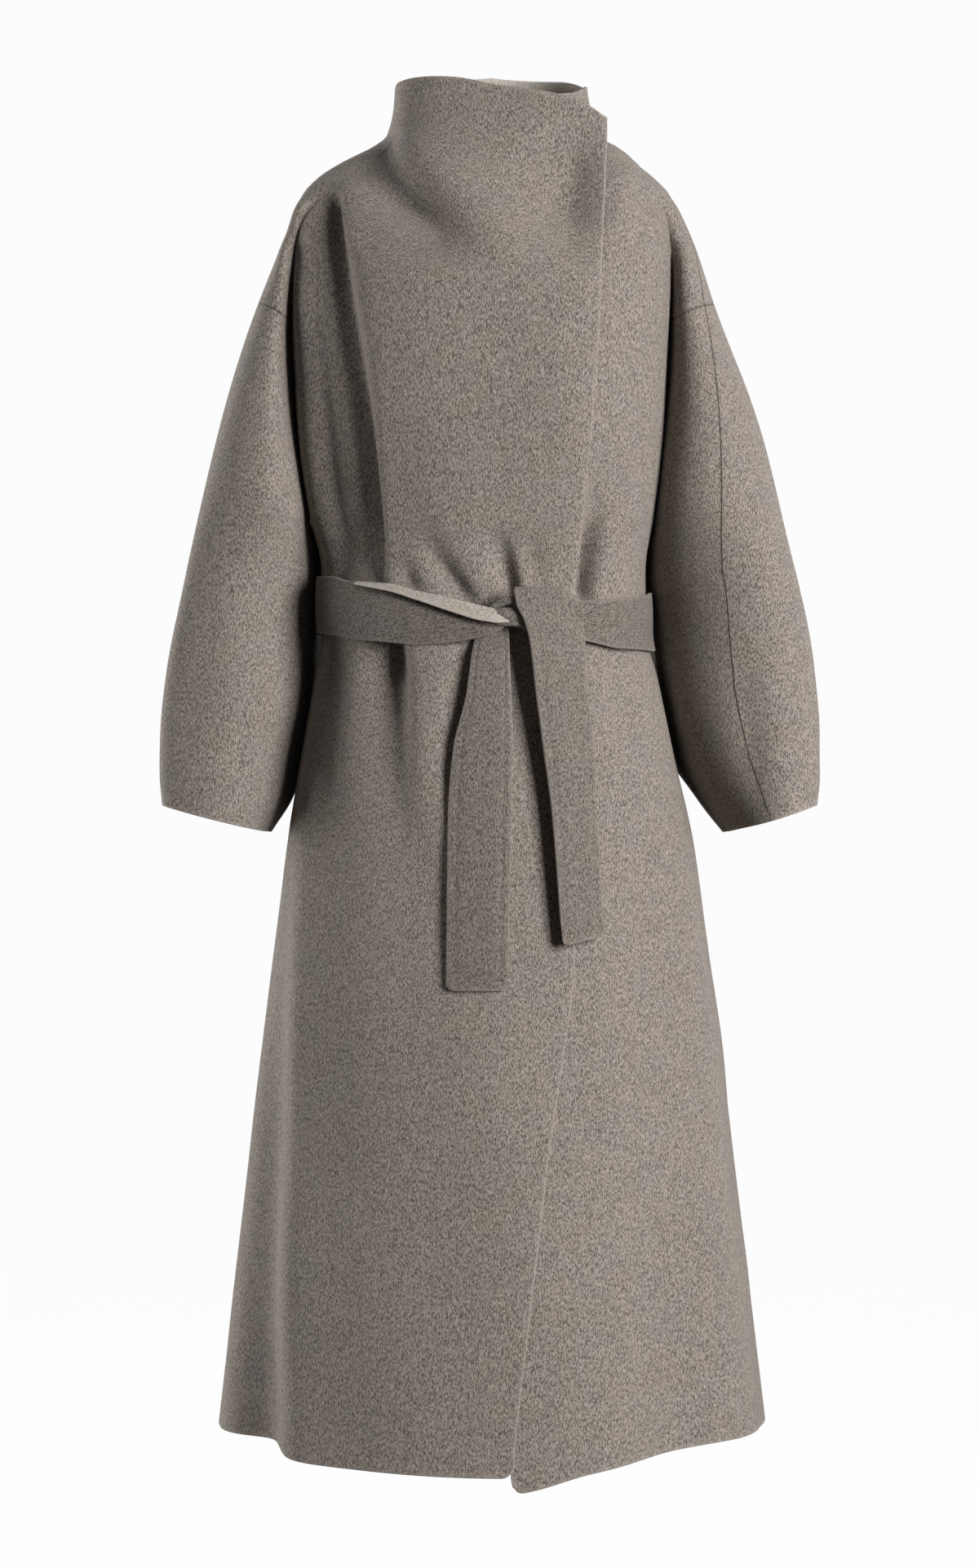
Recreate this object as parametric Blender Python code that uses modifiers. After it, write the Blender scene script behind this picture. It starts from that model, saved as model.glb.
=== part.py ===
"""Funnel-neck wrap coat of double-faced wool, hollow and filled out as if it were worn.

Metres, +Z up. The front faces -Y and the wearer's left is +X. The origin is the middle of the
neck at shoulder height, where the wearer's shoulders carry the coat.

All panels are cut from one outline. At each level a row runs round half of the coat, and places
along it are numbered as stations: 0 is the front edge, 1 the front crevice between chest and arm
(the side seam below the armpit), 2 the outermost line of the arm, 3 the back crevice (again the
side seam) and 4 the centre back. A point's depth is its distance in front of the origin.
"""

import bmesh
import bpy
import numpy as np

# Cloth and seams
CLOTH = 0.0025
BELT_CLOTH = 0.004
SEAM_GAP = 0.0004
SLEEVE_CLEARANCE = 0.0006
BELT_CLEARANCE = 0.0014

# Levels that the cut turns on
COLLAR_LEVEL = 0.060
NECK_TOP = 0.020
NECK_BOTTOM = -0.012
CAP_LEVEL = -0.045
ARMHOLE_LEVEL = -0.160
UNDERARM_LEVEL = -0.334
WAIST_BOTTOM = -0.460
HIP_LEVEL = -0.640
HEM_START = -1.000
HEM_BAND = -1.120
HEM_LEVEL = -1.175
CUFF_LEVEL = -0.626

# The right front lies over the left one
LAP_INSET = 0.0045
LAPEL_HALF_WIDTH = 0.160
LAPEL_TOP = -0.040
LAPEL_BOTTOM = -0.120

# Counts of facets
FRONT_STEPS = 20
SHOULDER_STEPS = 7
SLEEVE_STEPS = 10
BACK_STEPS = 9
BAND_STEPS = 56
BAND_ROWS = 3
TAIL_STEPS = 10
TAIL_COLUMNS = 4
CREVICE_CROWDING = 1.4

# Shares and steps that the curves are worked out with
TANGENT_STEP = 0.01
HANDLE_REACH = 0.75
WIDEST_SHARE = 0.99

# Knot: half sizes across, forward and up, and how square it is
KNOT_CENTRE = (0.0026, -0.4425)
KNOT_HALF_SIZES = (0.0200, 0.0100, 0.0185)
KNOT_SQUARENESS = 0.75
KNOT_SEGMENTS = 16
KNOT_RINGS = 10

# Colours of the cloth: outer face of the coat and of the belt
COAT_COLOUR = (0.165, 0.142, 0.121, 1.0)
BELT_COLOUR = (0.150, 0.129, 0.110, 1.0)
CLOTH_ROUGHNESS = 0.9

# Rows of facets: upper end, lower end and number of steps of each zone. The fronts and the back have
# them close together where the shoulder slopes, and the sleeves share those down to the armpit.
ARM_ZONE = (ARMHOLE_LEVEL, UNDERARM_LEVEL, 6)
PANEL_ZONES = [
    (COLLAR_LEVEL, NECK_TOP, 2),
    (NECK_TOP, NECK_BOTTOM, 4),
    (NECK_BOTTOM, CAP_LEVEL, 3),
    (CAP_LEVEL, ARMHOLE_LEVEL, 5),
    ARM_ZONE,
    (UNDERARM_LEVEL, WAIST_BOTTOM, 5),
    (WAIST_BOTTOM, HIP_LEVEL, 3),
    (HIP_LEVEL, HEM_BAND, 5),
    (HEM_BAND, HEM_LEVEL, 1),
]
SLEEVE_ZONES = [
    ARM_ZONE,
    (UNDERARM_LEVEL, CUFF_LEVEL, 10),
]

SIGN = {"right": -1.0, "left": 1.0}
OTHER = {"right": "left", "left": "right"}


def table(columns, rows):
    """Keep rows of sizes as named columns, in rising order of the first one."""
    ordered = np.array(sorted(rows))
    return dict(zip(columns.split(), ordered.T))


# Torso: half width on each side, reach forward and back, and squareness of the section (2 is an oval)
BODY = table("height right_half left_half front back squareness", [
    (0.085, 0.0900, 0.0845, 0.074, 0.078, 2.2),
    (0.040, 0.0910, 0.0855, 0.077, 0.077, 2.2),
    (0.012, 0.0960, 0.0905, 0.081, 0.075, 2.2),
    (0.000, 0.1085, 0.1055, 0.085, 0.074, 2.2),
    (-0.008, 0.1225, 0.1210, 0.088, 0.075, 2.2),
    (-0.018, 0.1415, 0.1400, 0.091, 0.078, 2.2),
    (-0.030, 0.1605, 0.1540, 0.095, 0.084, 2.3),
    (-0.045, 0.1740, 0.1650, 0.100, 0.090, 2.4),
    (-0.095, 0.1840, 0.1660, 0.112, 0.105, 2.6),
    (-0.160, 0.1865, 0.1640, 0.121, 0.114, 2.8),
    (-0.230, 0.1820, 0.1600, 0.125, 0.117, 2.8),
    (-0.334, 0.1670, 0.1490, 0.119, 0.108, 2.6),
    (-0.388, 0.1550, 0.1420, 0.115, 0.102, 2.4),
    (-0.440, 0.1550, 0.1420, 0.115, 0.101, 2.3),
    (-0.484, 0.1620, 0.1530, 0.121, 0.107, 2.2),
    (-0.560, 0.1755, 0.1690, 0.137, 0.127, 2.1),
    (-0.641, 0.1875, 0.1860, 0.150, 0.145, 2.0),
    (-0.791, 0.2070, 0.2070, 0.172, 0.168, 2.0),
    (-0.941, 0.2245, 0.2250, 0.190, 0.190, 2.0),
    (-1.091, 0.2415, 0.2430, 0.205, 0.207, 2.0),
    (-1.200, 0.2540, 0.2560, 0.215, 0.219, 2.0),
])

# Front edges: how far each one lies past the centre line
LAP = table("height right left", [
    (0.060, 0.1056, 0.050),
    (-0.020, 0.1050, 0.085),
    (-0.165, 0.0962, 0.095),
    (-0.396, 0.0790, 0.084),
    (-0.731, 0.0730, 0.044),
    (-0.925, 0.0477, 0.016),
    (-1.200, 0.0140, -0.023),
])

# Top edge of the collar, by degrees round from the front (negative past the centre line)
COLLAR_EDGE = table("degrees right left", [
    (-40, 0.0150, 0.028),
    (-24, 0.0330, 0.030),
    (0, 0.0445, 0.033),
    (22, 0.0520, 0.035),
    (45, 0.0550, 0.040),
    (70, 0.0565, 0.053),
    (90, 0.0590, 0.058),
    (130, 0.0760, 0.074),
    (180, 0.0830, 0.083),
])

# Hem, by degrees round from the front
HEM_EDGE = table("degrees right left", [
    (-10, -1.1760, -1.1920),
    (4, -1.1755, -1.1900),
    (20, -1.1740, -1.1755),
    (45, -1.1715, -1.1645),
    (56, -1.1645, -1.1620),
    (70, -1.1660, -1.1610),
    (90, -1.1690, -1.1660),
    (135, -1.1720, -1.1700),
    (180, -1.1750, -1.1750),
])

# Arm above the armpit: where the crevice lies, how far the cloth turns there, and the handles of its curve
CREVICE = table("level degrees turn reach_in reach_out", [
    (-0.045, 60.0, 0.0, 0.022, 0.018),
    (-0.080, 62.0, 35.0, 0.025, 0.034),
    (-0.115, 66.0, 85.0, 0.030, 0.050),
    (-0.160, 71.0, 115.0, 0.040, 0.064),
    (-0.245, 79.0, 150.0, 0.066, 0.080),
    (-0.334, 90.0, 180.0, 0.088, 0.088),
])

# Sleeves: height and place of the outermost line, and below the armpit the inner line, how far it lies
# forward and leans away from the body, and the sleeve's half depth
SLEEVE = table("level outer_height right_out left_out centre right_in left_in in_depth lean reach", [
    (-0.045, -0.0450, 0.1740, 0.1650, 0.000, 0.1670, 0.1490, 0.000, 0.0, 0.066),
    (-0.080, -0.0780, 0.1875, 0.1825, 0.000, 0.1670, 0.1490, 0.000, 0.0, 0.066),
    (-0.160, -0.1430, 0.2135, 0.2075, 0.001, 0.1670, 0.1490, 0.000, 0.0, 0.066),
    (-0.245, -0.2250, 0.2400, 0.2355, 0.005, 0.1670, 0.1490, 0.000, 0.0, 0.066),
    (-0.334, -0.3120, 0.2635, 0.2610, 0.011, 0.1670, 0.1490, 0.000, 0.0, 0.066),
    (-0.365, -0.3420, 0.2703, 0.2678, 0.014, 0.1630, 0.1480, -0.012, 6.0, 0.067),
    (-0.393, -0.3700, 0.2760, 0.2736, 0.017, 0.1605, 0.1470, -0.026, 14.0, 0.067),
    (-0.420, -0.3970, 0.2810, 0.2790, 0.019, 0.1615, 0.1485, -0.034, 20.0, 0.068),
    (-0.500, -0.4780, 0.2940, 0.2925, 0.027, 0.1660, 0.1575, -0.026, 24.0, 0.069),
    (-0.560, -0.5380, 0.2995, 0.2985, 0.032, 0.1765, 0.1735, -0.020, 20.0, 0.067),
    (-0.595, -0.5730, 0.3005, 0.2985, 0.035, 0.1850, 0.1930, -0.008, 12.0, 0.063),
    (-0.626, -0.6015, 0.2985, 0.2955, 0.037, 0.2030, 0.2150, 0.010, 8.0, 0.056),
])

# Station of the seam that joins front and back along shoulder and sleeve
SEAM = table("level right left", [
    (0.060, 2.00, 2.25),
    (0.000, 1.95, 2.00),
    (-0.030, 1.85, 1.80),
    (-0.160, 2.05, 1.62),
    (-0.420, 2.10, 1.47),
    (-0.626, 2.10, 1.42),
])

# Large folds: degrees round from the front and depth (negative is a valley) at the upper and lower end
FOLDS = [
    dict(side="right", top=-0.030, bottom=-0.400, degrees=(50, 35), depth=(-0.008, -0.010), width=7),
    dict(side="right", top=-0.450, bottom=-0.620, degrees=(31, 24), depth=(-0.009, 0.000), width=7),
    dict(side="right", top=-0.600, bottom=-1.330, degrees=(66, 55), depth=(0.000, -0.036), width=9),
    dict(side="right", top=-0.560, bottom=-1.330, degrees=(52, 36), depth=(0.004, 0.008), width=9),
    dict(side="left", top=-0.600, bottom=-1.330, degrees=(50, 40), depth=(0.000, -0.018), width=11),
    dict(side="left", top=-0.560, bottom=-1.330, degrees=(66, 62), depth=(0.002, 0.010), width=9),
    dict(side="right", top=-0.560, bottom=-1.330, degrees=(128, 132), depth=(0.000, -0.022), width=11),
    dict(side="left", top=-0.540, bottom=-1.330, degrees=(136, 140), depth=(0.000, -0.020), width=11),
]
FOLD_FADE = 0.035

# Belt: degrees round from the front (positive to the wearer's left), height of its middle, and width
BAND = table("degrees height width", [
    (-336, -0.4400, 0.030),
    (-325, -0.4370, 0.040),
    (-300, -0.4340, 0.052),
    (-270, -0.4320, 0.052),
    (-180, -0.4200, 0.052),
    (-90, -0.4180, 0.052),
    (-50, -0.4280, 0.046),
    (-22, -0.4395, 0.033),
    (-8, -0.4415, 0.026),
])
BAND_START = -8.0
BAND_END = -349.0

# Belt ends: middle line, half width, and how far each edge stands off the coat
TAIL_COLUMNS_TEXT = "height middle half lift_right lift_left"
OVER_TAIL = table(TAIL_COLUMNS_TEXT, [
    (-0.4190, 0.0520, 0.0277, 0.0120, 0.0062),
    (-0.4450, 0.0560, 0.0255, 0.0180, 0.0062),
    (-0.4670, 0.0590, 0.0232, 0.0230, 0.0062),
    (-0.5380, 0.0645, 0.0215, 0.0210, 0.0040),
    (-0.6100, 0.0704, 0.0210, 0.0180, 0.0015),
    (-0.7254, 0.0774, 0.0200, 0.0160, 0.0010),
])
UNDER_TAIL = table(TAIL_COLUMNS_TEXT, [
    (-0.4615, 0.0010, 0.0190, 0.0100, 0.0100),
    (-0.5020, -0.0010, 0.0205, 0.0090, 0.0070),
    (-0.5527, -0.0072, 0.0258, 0.0050, 0.0030),
    (-0.6100, -0.0097, 0.0277, 0.0025, 0.0012),
    (-0.7617, -0.0122, 0.0268, 0.0008, 0.0008),
])


def lookup(sizes, name, at):
    """Read a column at any place between its rows, along smooth curves that never overshoot."""
    keys = next(iter(sizes.values()))
    values = sizes[name]
    slope = np.diff(values) / np.diff(keys)
    before, after = slope[:-1], slope[1:]
    same_way = before * after > 0.0
    total = np.where(same_way, before + after, 1.0)
    inner = np.where(same_way, 2.0 * before * after / total, 0.0)
    tangent = np.concatenate([slope[:1], inner, slope[-1:]])
    place = np.clip(at, keys[0], keys[-1])
    k = np.clip(np.searchsorted(keys, place, side="right") - 1, 0, len(keys) - 2)
    span = keys[k + 1] - keys[k]
    t = (place - keys[k]) / span
    start_weight = (1.0 + 2.0 * t) * (1.0 - t) ** 2
    start_pull = t * (1.0 - t) ** 2 * span
    end_pull = t * t * (t - 1.0) * span
    return (start_weight * values[k] + (1.0 - start_weight) * values[k + 1]
            + start_pull * tangent[k] + end_pull * tangent[k + 1])


def ease(t):
    """Run smoothly from 0 to 1."""
    t = np.clip(t, 0.0, 1.0)
    return t * t * (3.0 - 2.0 * t)


def mix(a, b, t):
    """Go from a to b as t goes from 0 to 1."""
    return a + (b - a) * t


def half_width(side, angle, height, inset):
    """Give the half width that a section point belongs to.

    Past the centre line the upper front stands off the neck as a flat lapel, and the lower one
    stays inside the upper one.
    """
    own = lookup(BODY, side + "_half", height)
    other = lookup(BODY, OTHER[side] + "_half", height)
    lapel = ease((height - LAPEL_BOTTOM) / (LAPEL_TOP - LAPEL_BOTTOM))
    flat = mix(other, np.maximum(other, LAPEL_HALF_WIDTH), lapel)
    past_centre = np.where(inset > 0.0, other - inset, flat)
    return np.where(angle < 0.0, past_centre, own)


def fold_height(side, angle, height):
    """Add up the folds: each is a trough or ridge with a bell-shaped section."""
    total = np.zeros(np.broadcast(angle, height).shape)
    here = SIGN[side] * np.degrees(angle)
    for fold in FOLDS:
        along = np.clip((fold["top"] - height) / (fold["top"] - fold["bottom"]), 0.0, 1.0)
        middle = SIGN[fold["side"]] * mix(*fold["degrees"], along)
        away = ((here - middle + 180.0) % 360.0 - 180.0) / fold["width"]
        window = ease((fold["top"] - height) / FOLD_FADE) * ease((height - fold["bottom"]) / FOLD_FADE)
        total = total + mix(*fold["depth"], along) * window * np.exp(-away ** 2)
    return total


def torso(side, angle, height, inset=0.0, lift=0.0):
    """Give x and depth of the torso: a rounded-square section, moved out by its folds and by lift."""
    square = lookup(BODY, "squareness", height)
    half = half_width(side, angle, height, inset)
    reach = np.where(np.cos(angle) > 0.0,
                     lookup(BODY, "front", height) - inset,
                     lookup(BODY, "back", height))
    across, along = np.sin(angle), np.cos(angle)
    radius = (np.abs(across) ** square + np.abs(along) ** square) ** (-1.0 / square)
    across, along = across * radius, along * radius
    out_x = np.sign(across) * np.abs(across) ** (square - 1.0) / half
    out_depth = np.sign(along) * np.abs(along) ** (square - 1.0) / reach
    length = np.hypot(out_x, out_depth)
    moved = lift + fold_height(side, angle, height)
    return half * across + moved * out_x / length, reach * along + moved * out_depth / length


def angle_at(side, x, height, inset):
    """Give the angle round the section at which it is x wide."""
    half = half_width(side, np.where(x < 0.0, -1.0, 1.0), height, inset)
    square = lookup(BODY, "squareness", height)
    share = np.clip(x / half, -WIDEST_SHARE, WIDEST_SHARE)
    return np.arctan2(share, (1.0 - np.abs(share) ** square) ** (1.0 / square))


def crevice_angle(level):
    """Give the angle at which the chest meets the arm; below the armpit it is the side seam."""
    return np.radians(lookup(CREVICE, "degrees", level))


def row_angle(side, station, level, inset):
    """Give the angle round the torso of a station."""
    edge = angle_at(side, -lookup(LAP, side, level), level, inset)
    front = crevice_angle(np.minimum(level, CAP_LEVEL))
    back = np.pi - front
    angle = np.where(station <= 1.0, mix(edge, front, station), mix(front, back, 0.5 * (station - 1.0)))
    return np.where(station >= 3.0, mix(back, np.pi, station - 3.0), angle)


def settle(side, angle, level):
    """Turn a level into a height: rows fan out to the collar's top edge and to the hem."""
    degrees = np.degrees(angle)
    top = lookup(COLLAR_EDGE, side, degrees)
    hem = lookup(HEM_EDGE, side, degrees)
    collar = level * top / COLLAR_LEVEL
    skirt = HEM_START + (level - HEM_START) * (hem - HEM_START) / (HEM_LEVEL - HEM_START)
    return np.where(level > 0.0, collar, np.where(level < HEM_START, skirt, level))


def arm(side, station, level, inset, clear):
    """Give x, depth and height on the arm tube between the crevices.

    Above the armpit each half is a curve from the crevice, which it leaves turned away from the
    chest, to the outermost line. Below it the two halves close into the sleeve's ring.
    """
    front = station <= 2.0
    crevice = crevice_angle(level)
    angle = np.where(front, crevice, np.pi - crevice)
    facing = np.where(front, 1.0, -1.0)
    x, depth = torso(side, angle, level, inset)
    after = torso(side, angle + facing * TANGENT_STEP, level, inset)
    before = torso(side, angle - facing * TANGENT_STEP, level, inset)
    heading = np.arctan2(facing * (after[1] - before[1]), after[0] - before[0])
    heading = heading + np.radians(lookup(CREVICE, "turn", level))
    is_sleeve = level < UNDERARM_LEVEL
    lean = np.radians(lookup(SLEEVE, "lean", level))
    heading = np.where(is_sleeve, 0.5 * np.pi - facing * lean, heading)
    centre = lookup(SLEEVE, "centre", level)
    ring_reach = lookup(SLEEVE, "reach", level) / HANDLE_REACH
    x = np.where(is_sleeve, lookup(SLEEVE, side + "_in", level), x) + clear
    depth = np.where(is_sleeve, lookup(SLEEVE, "in_depth", level), depth)
    reach_in = np.where(is_sleeve, ring_reach, lookup(CREVICE, "reach_in", level))
    reach_out = np.where(is_sleeve, ring_reach, lookup(CREVICE, "reach_out", level))
    outer_x = lookup(SLEEVE, side + "_out", level)
    t = np.where(front, station - 1.0, 3.0 - station)
    weights = ((1.0 - t) ** 3, 3.0 * t * (1.0 - t) ** 2, 3.0 * t * t * (1.0 - t), t ** 3)
    handle_x = x + reach_in * np.cos(heading)
    handle_depth = depth + facing * reach_in * np.sin(heading)
    curve_x = weights[0] * x + weights[1] * handle_x + (weights[2] + weights[3]) * outer_x
    curve_depth = (weights[0] * depth + weights[1] * handle_depth
                   + weights[2] * (centre + facing * reach_out) + weights[3] * centre)
    rise = lookup(SLEEVE, "outer_height", level) - level
    return curve_x, curve_depth, level + rise * (curve_x - x) / (outer_x - x)


def coat_points(side, station, level, inset=0.0, clear=0.0):
    """Give the outer face of the cloth at stations (columns) and levels (rows) as a grid of points."""
    angle = row_angle(side, station, level, inset)
    height = settle(side, angle, level)
    x, depth = torso(side, angle, height, inset)
    arm_x, arm_depth, arm_height = arm(side, station, level, inset, clear)
    on_arm = (station > 1.0) & (station < 3.0)
    at_sleeve_edge = (station == 1.0) | (station == 3.0)
    use_arm = (level < CAP_LEVEL) & (on_arm | (at_sleeve_edge & (clear > 0.0)))
    return np.stack([
        SIGN[side] * np.where(use_arm, arm_x, x),
        -np.where(use_arm, arm_depth, depth),
        np.where(use_arm, arm_height, height),
    ], axis=-1)


def trim(points, amount, last):
    """Move the first or last point of every row along the row by an amount, to leave a seam's gap."""
    end, inner = (-1, -2) if last else (0, 1)
    run = points[:, inner] - points[:, end]
    points[:, end] += amount * run / np.linalg.norm(run, axis=-1, keepdims=True)


def levels_of(zones):
    """List the levels of all zones from the top down, as a column."""
    runs = [np.linspace(upper, lower, steps, endpoint=False) for upper, lower, steps in zones]
    return np.concatenate(runs + [[zones[-1][1]]])[:, None]


def cloth_material(name, colour):
    """Make a matt cloth material."""
    material = bpy.data.materials.new(name)
    material.use_nodes = True
    shader = material.node_tree.nodes["Principled BSDF"]
    shader.inputs["Base Color"].default_value = colour
    shader.inputs["Roughness"].default_value = CLOTH_ROUGHNESS
    shader.inputs["Metallic"].default_value = 0.0
    return material


def sheet(name, points, collection, colour, wall, keep=None):
    """Make a grid of points a cloth panel: a surface facing out, with its wall on the inner side."""
    rows, columns = points.shape[:2]
    index = np.arange(rows * columns).reshape(rows, columns)
    quads = np.stack([index[:-1, :-1], index[1:, :-1], index[1:, 1:], index[:-1, 1:]], axis=-1)
    quads = quads.reshape(-1, 4) if keep is None else quads[keep]
    used, renumbered = np.unique(quads, return_inverse=True)
    mesh = bpy.data.meshes.new(name)
    mesh.from_pydata(points.reshape(-1, 3)[used].tolist(), [], renumbered.reshape(-1, 4).tolist())
    mesh.shade_smooth()
    mesh.materials.append(cloth_material(name, colour))
    panel = bpy.data.objects.new(name, mesh)
    collection.objects.link(panel)
    solidify = panel.modifiers.new("Wall", "SOLIDIFY")
    solidify.thickness = wall
    solidify.offset = -1.0
    solidify.use_even_offset = True
    solidify.use_quality_normals = True
    return panel


def stations_to_seam(side, level, first, steps):
    """Give stations from a crevice (1 or 3) to the overarm seam, a row for each level.

    They lie closer at both ends, so that the walls on the two sides of a seam stand parallel.
    """
    share = 0.5 - 0.5 * np.cos(np.linspace(0.0, np.pi, steps + 1))
    return mix(first, lookup(SEAM, side, level), share[None, :])


def stations_from_crevice(level, first, last, steps):
    """Give stations from a crevice (1 or 3) to an end of the row, closer together at the crevice."""
    share = np.linspace(0.0, 1.0, steps + 1) ** CREVICE_CROWDING
    return np.repeat(mix(first, last, share)[None, :], len(level), axis=0)


def face_out(side, points, keep):
    """Turn a grid so that its columns run the way that makes its faces point out."""
    if side == "right":
        return points, keep
    return points[:, ::-1], keep[:, ::-1]


def make_front(side, collection):
    """Build one front: chest and skirt, the collar grown on above, and the dropped shoulder."""
    level = levels_of(PANEL_ZONES)
    inset = LAP_INSET if side == "left" else 0.0
    chest = stations_from_crevice(level, 1.0, 0.0, FRONT_STEPS)[:, ::-1]
    shoulder = stations_to_seam(side, level, 1.0, SHOULDER_STEPS)
    points = coat_points(side, np.hstack([chest, shoulder[:, 1:]]), level, inset)
    armhole = int(np.argmin(np.abs(level - ARMHOLE_LEVEL)))
    trim(points[:armhole + 1], 0.5 * SEAM_GAP, last=True)
    trim(points[armhole + 1:, :FRONT_STEPS + 1], 0.5 * SEAM_GAP, last=True)
    points[armhole, FRONT_STEPS + 1:, 2] += 0.5 * SEAM_GAP
    keep = np.ones((len(level) - 1, FRONT_STEPS + SHOULDER_STEPS), dtype=bool)
    keep[armhole:, FRONT_STEPS:] = False
    points, keep = face_out(side, points[:, ::-1], keep[:, ::-1])
    return sheet("front_" + side, points, collection, COAT_COLOUR, CLOTH, keep)


def make_back(collection):
    """Build the back: one piece across, with both dropped shoulders and the back of the collar."""
    level = levels_of(PANEL_ZONES)
    armhole = int(np.argmin(np.abs(level - ARMHOLE_LEVEL)))
    halves = []
    for side in ("right", "left"):
        shoulder = stations_to_seam(side, level, 3.0, SHOULDER_STEPS)[:, ::-1]
        blade = stations_from_crevice(level, 3.0, 4.0, BACK_STEPS)
        points = coat_points(side, np.hstack([shoulder[:, :-1], blade]), level,
                             LAP_INSET if side == "left" else 0.0)
        trim(points[:armhole + 1], 0.5 * SEAM_GAP, last=False)
        trim(points[armhole + 1:, SHOULDER_STEPS:], 0.5 * SEAM_GAP, last=False)
        points[armhole, :SHOULDER_STEPS, 2] += 0.5 * SEAM_GAP
        halves.append(points)
    points = np.concatenate([halves[0], halves[1][:, -2::-1]], axis=1)
    keep = np.ones((len(level) - 1, points.shape[1] - 1), dtype=bool)
    keep[armhole:, :SHOULDER_STEPS] = False
    keep[armhole:, -SHOULDER_STEPS:] = False
    return sheet("back", points[:, ::-1], collection, COAT_COLOUR, CLOTH, keep[:, ::-1])


def make_sleeve(side, half, collection):
    """Build the front or back half of a sleeve, from the armhole to the cuff."""
    level = levels_of(SLEEVE_ZONES)
    inset = LAP_INSET if side == "left" else 0.0
    first = 1.0 if half == "front" else 3.0
    stations = stations_to_seam(side, level, first, SLEEVE_STEPS)
    points = coat_points(side, stations, level, inset, clear=SLEEVE_CLEARANCE)
    trim(points, 0.5 * SEAM_GAP, last=False)
    trim(points, 0.5 * SEAM_GAP, last=True)
    points[0, :, 2] -= 0.5 * SEAM_GAP
    if (side == "right") == (half == "front"):
        points = points[:, ::-1]
    name = "sleeve_" + side + "_" + half
    return sheet(name, points, collection, COAT_COLOUR, CLOTH)


def outside(degrees, height, lift):
    """Give points that stand off the outside of the coat by a lift, whichever front is on top."""
    degrees = (degrees + 180.0) % 360.0 - 180.0
    angle = np.radians(np.abs(degrees))
    right = torso("right", angle, height, 0.0, lift)
    left = torso("left", angle, height, 0.0, lift)
    on_right = degrees <= 0.0
    x = np.where(on_right, -right[0], left[0])
    depth = np.where(on_right, right[1], left[1])
    return np.stack([x, -depth, np.broadcast_to(height, x.shape)], axis=-1)


def make_band(collection):
    """Build the belt round the waist, from one side of the knot to the other."""
    degrees = np.linspace(BAND_START, BAND_END, BAND_STEPS + 1)[None, :]
    share = np.linspace(0.5, -0.5, BAND_ROWS + 1)[:, None]
    height = lookup(BAND, "height", degrees) + share * lookup(BAND, "width", degrees)
    points = outside(degrees, height, BELT_CLEARANCE + BELT_CLOTH)
    return sheet("belt_band", points[:, ::-1], collection, BELT_COLOUR, BELT_CLOTH)


def make_tail(name, sizes, collection):
    """Build a hanging belt end: a strip that lies on the coat and stands off it along its edges."""
    heights = sizes["height"]
    height = np.linspace(heights[-1], heights[0], TAIL_STEPS + 1)[:, None]
    share = np.linspace(-1.0, 1.0, TAIL_COLUMNS + 1)[None, :]
    x = lookup(sizes, "middle", height) + share * lookup(sizes, "half", height)
    lift = mix(lookup(sizes, "lift_right", height), lookup(sizes, "lift_left", height), 0.5 + 0.5 * share)
    right = angle_at("right", -x, height, 0.0)
    left = angle_at("left", x, height, 0.0)
    degrees = np.degrees(np.where(x < 0.0, -right, left))
    points = outside(degrees, height, lift + BELT_CLOTH)
    return sheet(name, points, collection, BELT_COLOUR, BELT_CLOTH)


def make_knot(collection):
    """Build the knot: a ball drawn out towards a rounded block, seated on the front of the coat."""
    middle_x, middle_height = KNOT_CENTRE
    reach = lookup(BODY, "front", middle_height) + BELT_CLEARANCE + KNOT_HALF_SIZES[1]
    mesh = bpy.data.meshes.new("belt_knot")
    ball = bmesh.new()
    bmesh.ops.create_uvsphere(ball, u_segments=KNOT_SEGMENTS, v_segments=KNOT_RINGS, radius=1.0)
    for vertex in ball.verts:
        unit = np.array(vertex.co)
        block = np.sign(unit) * np.abs(unit) ** KNOT_SQUARENESS
        vertex.co = block * KNOT_HALF_SIZES + (middle_x, -reach, middle_height)
    ball.to_mesh(mesh)
    ball.free()
    mesh.shade_smooth()
    mesh.materials.append(cloth_material("belt_knot", BELT_COLOUR))
    knot = bpy.data.objects.new("belt_knot", mesh)
    collection.objects.link(knot)
    return knot


def main():
    """Clear the scene and build the coat, piece by piece."""
    for existing in list(bpy.data.objects):
        bpy.data.objects.remove(existing)
    collection = bpy.data.collections.new("funnel_neck_coat")
    bpy.context.scene.collection.children.link(collection)
    for side in ("right", "left"):
        make_front(side, collection)
        make_sleeve(side, "front", collection)
        make_sleeve(side, "back", collection)
    make_back(collection)
    make_band(collection)
    make_knot(collection)
    make_tail("belt_end_over", OVER_TAIL, collection)
    make_tail("belt_end_under", UNDER_TAIL, collection)


main()
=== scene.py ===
"""Looks of a funnel-neck wrap coat of double-faced wool, hollow and filled out as if it were worn.

Every panel is cut again from the coat's outline on a fine grid, creased and given its wall, and then takes
the place of its solid. Metres, +Z up; the front faces -Y and the wearer's left is +X. At each level a row
runs round half of the coat, and places along it are numbered as stations: 0 is the front edge, 1 the front
crevice between chest and arm (the side seam below the armpit), 2 the outermost line of the arm, 3 the back
crevice and 4 the centre back. A depth is a distance in front of the origin.
"""

import logging
from dataclasses import dataclass
from enum import Enum, IntEnum
from typing import Any, Sequence

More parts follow.
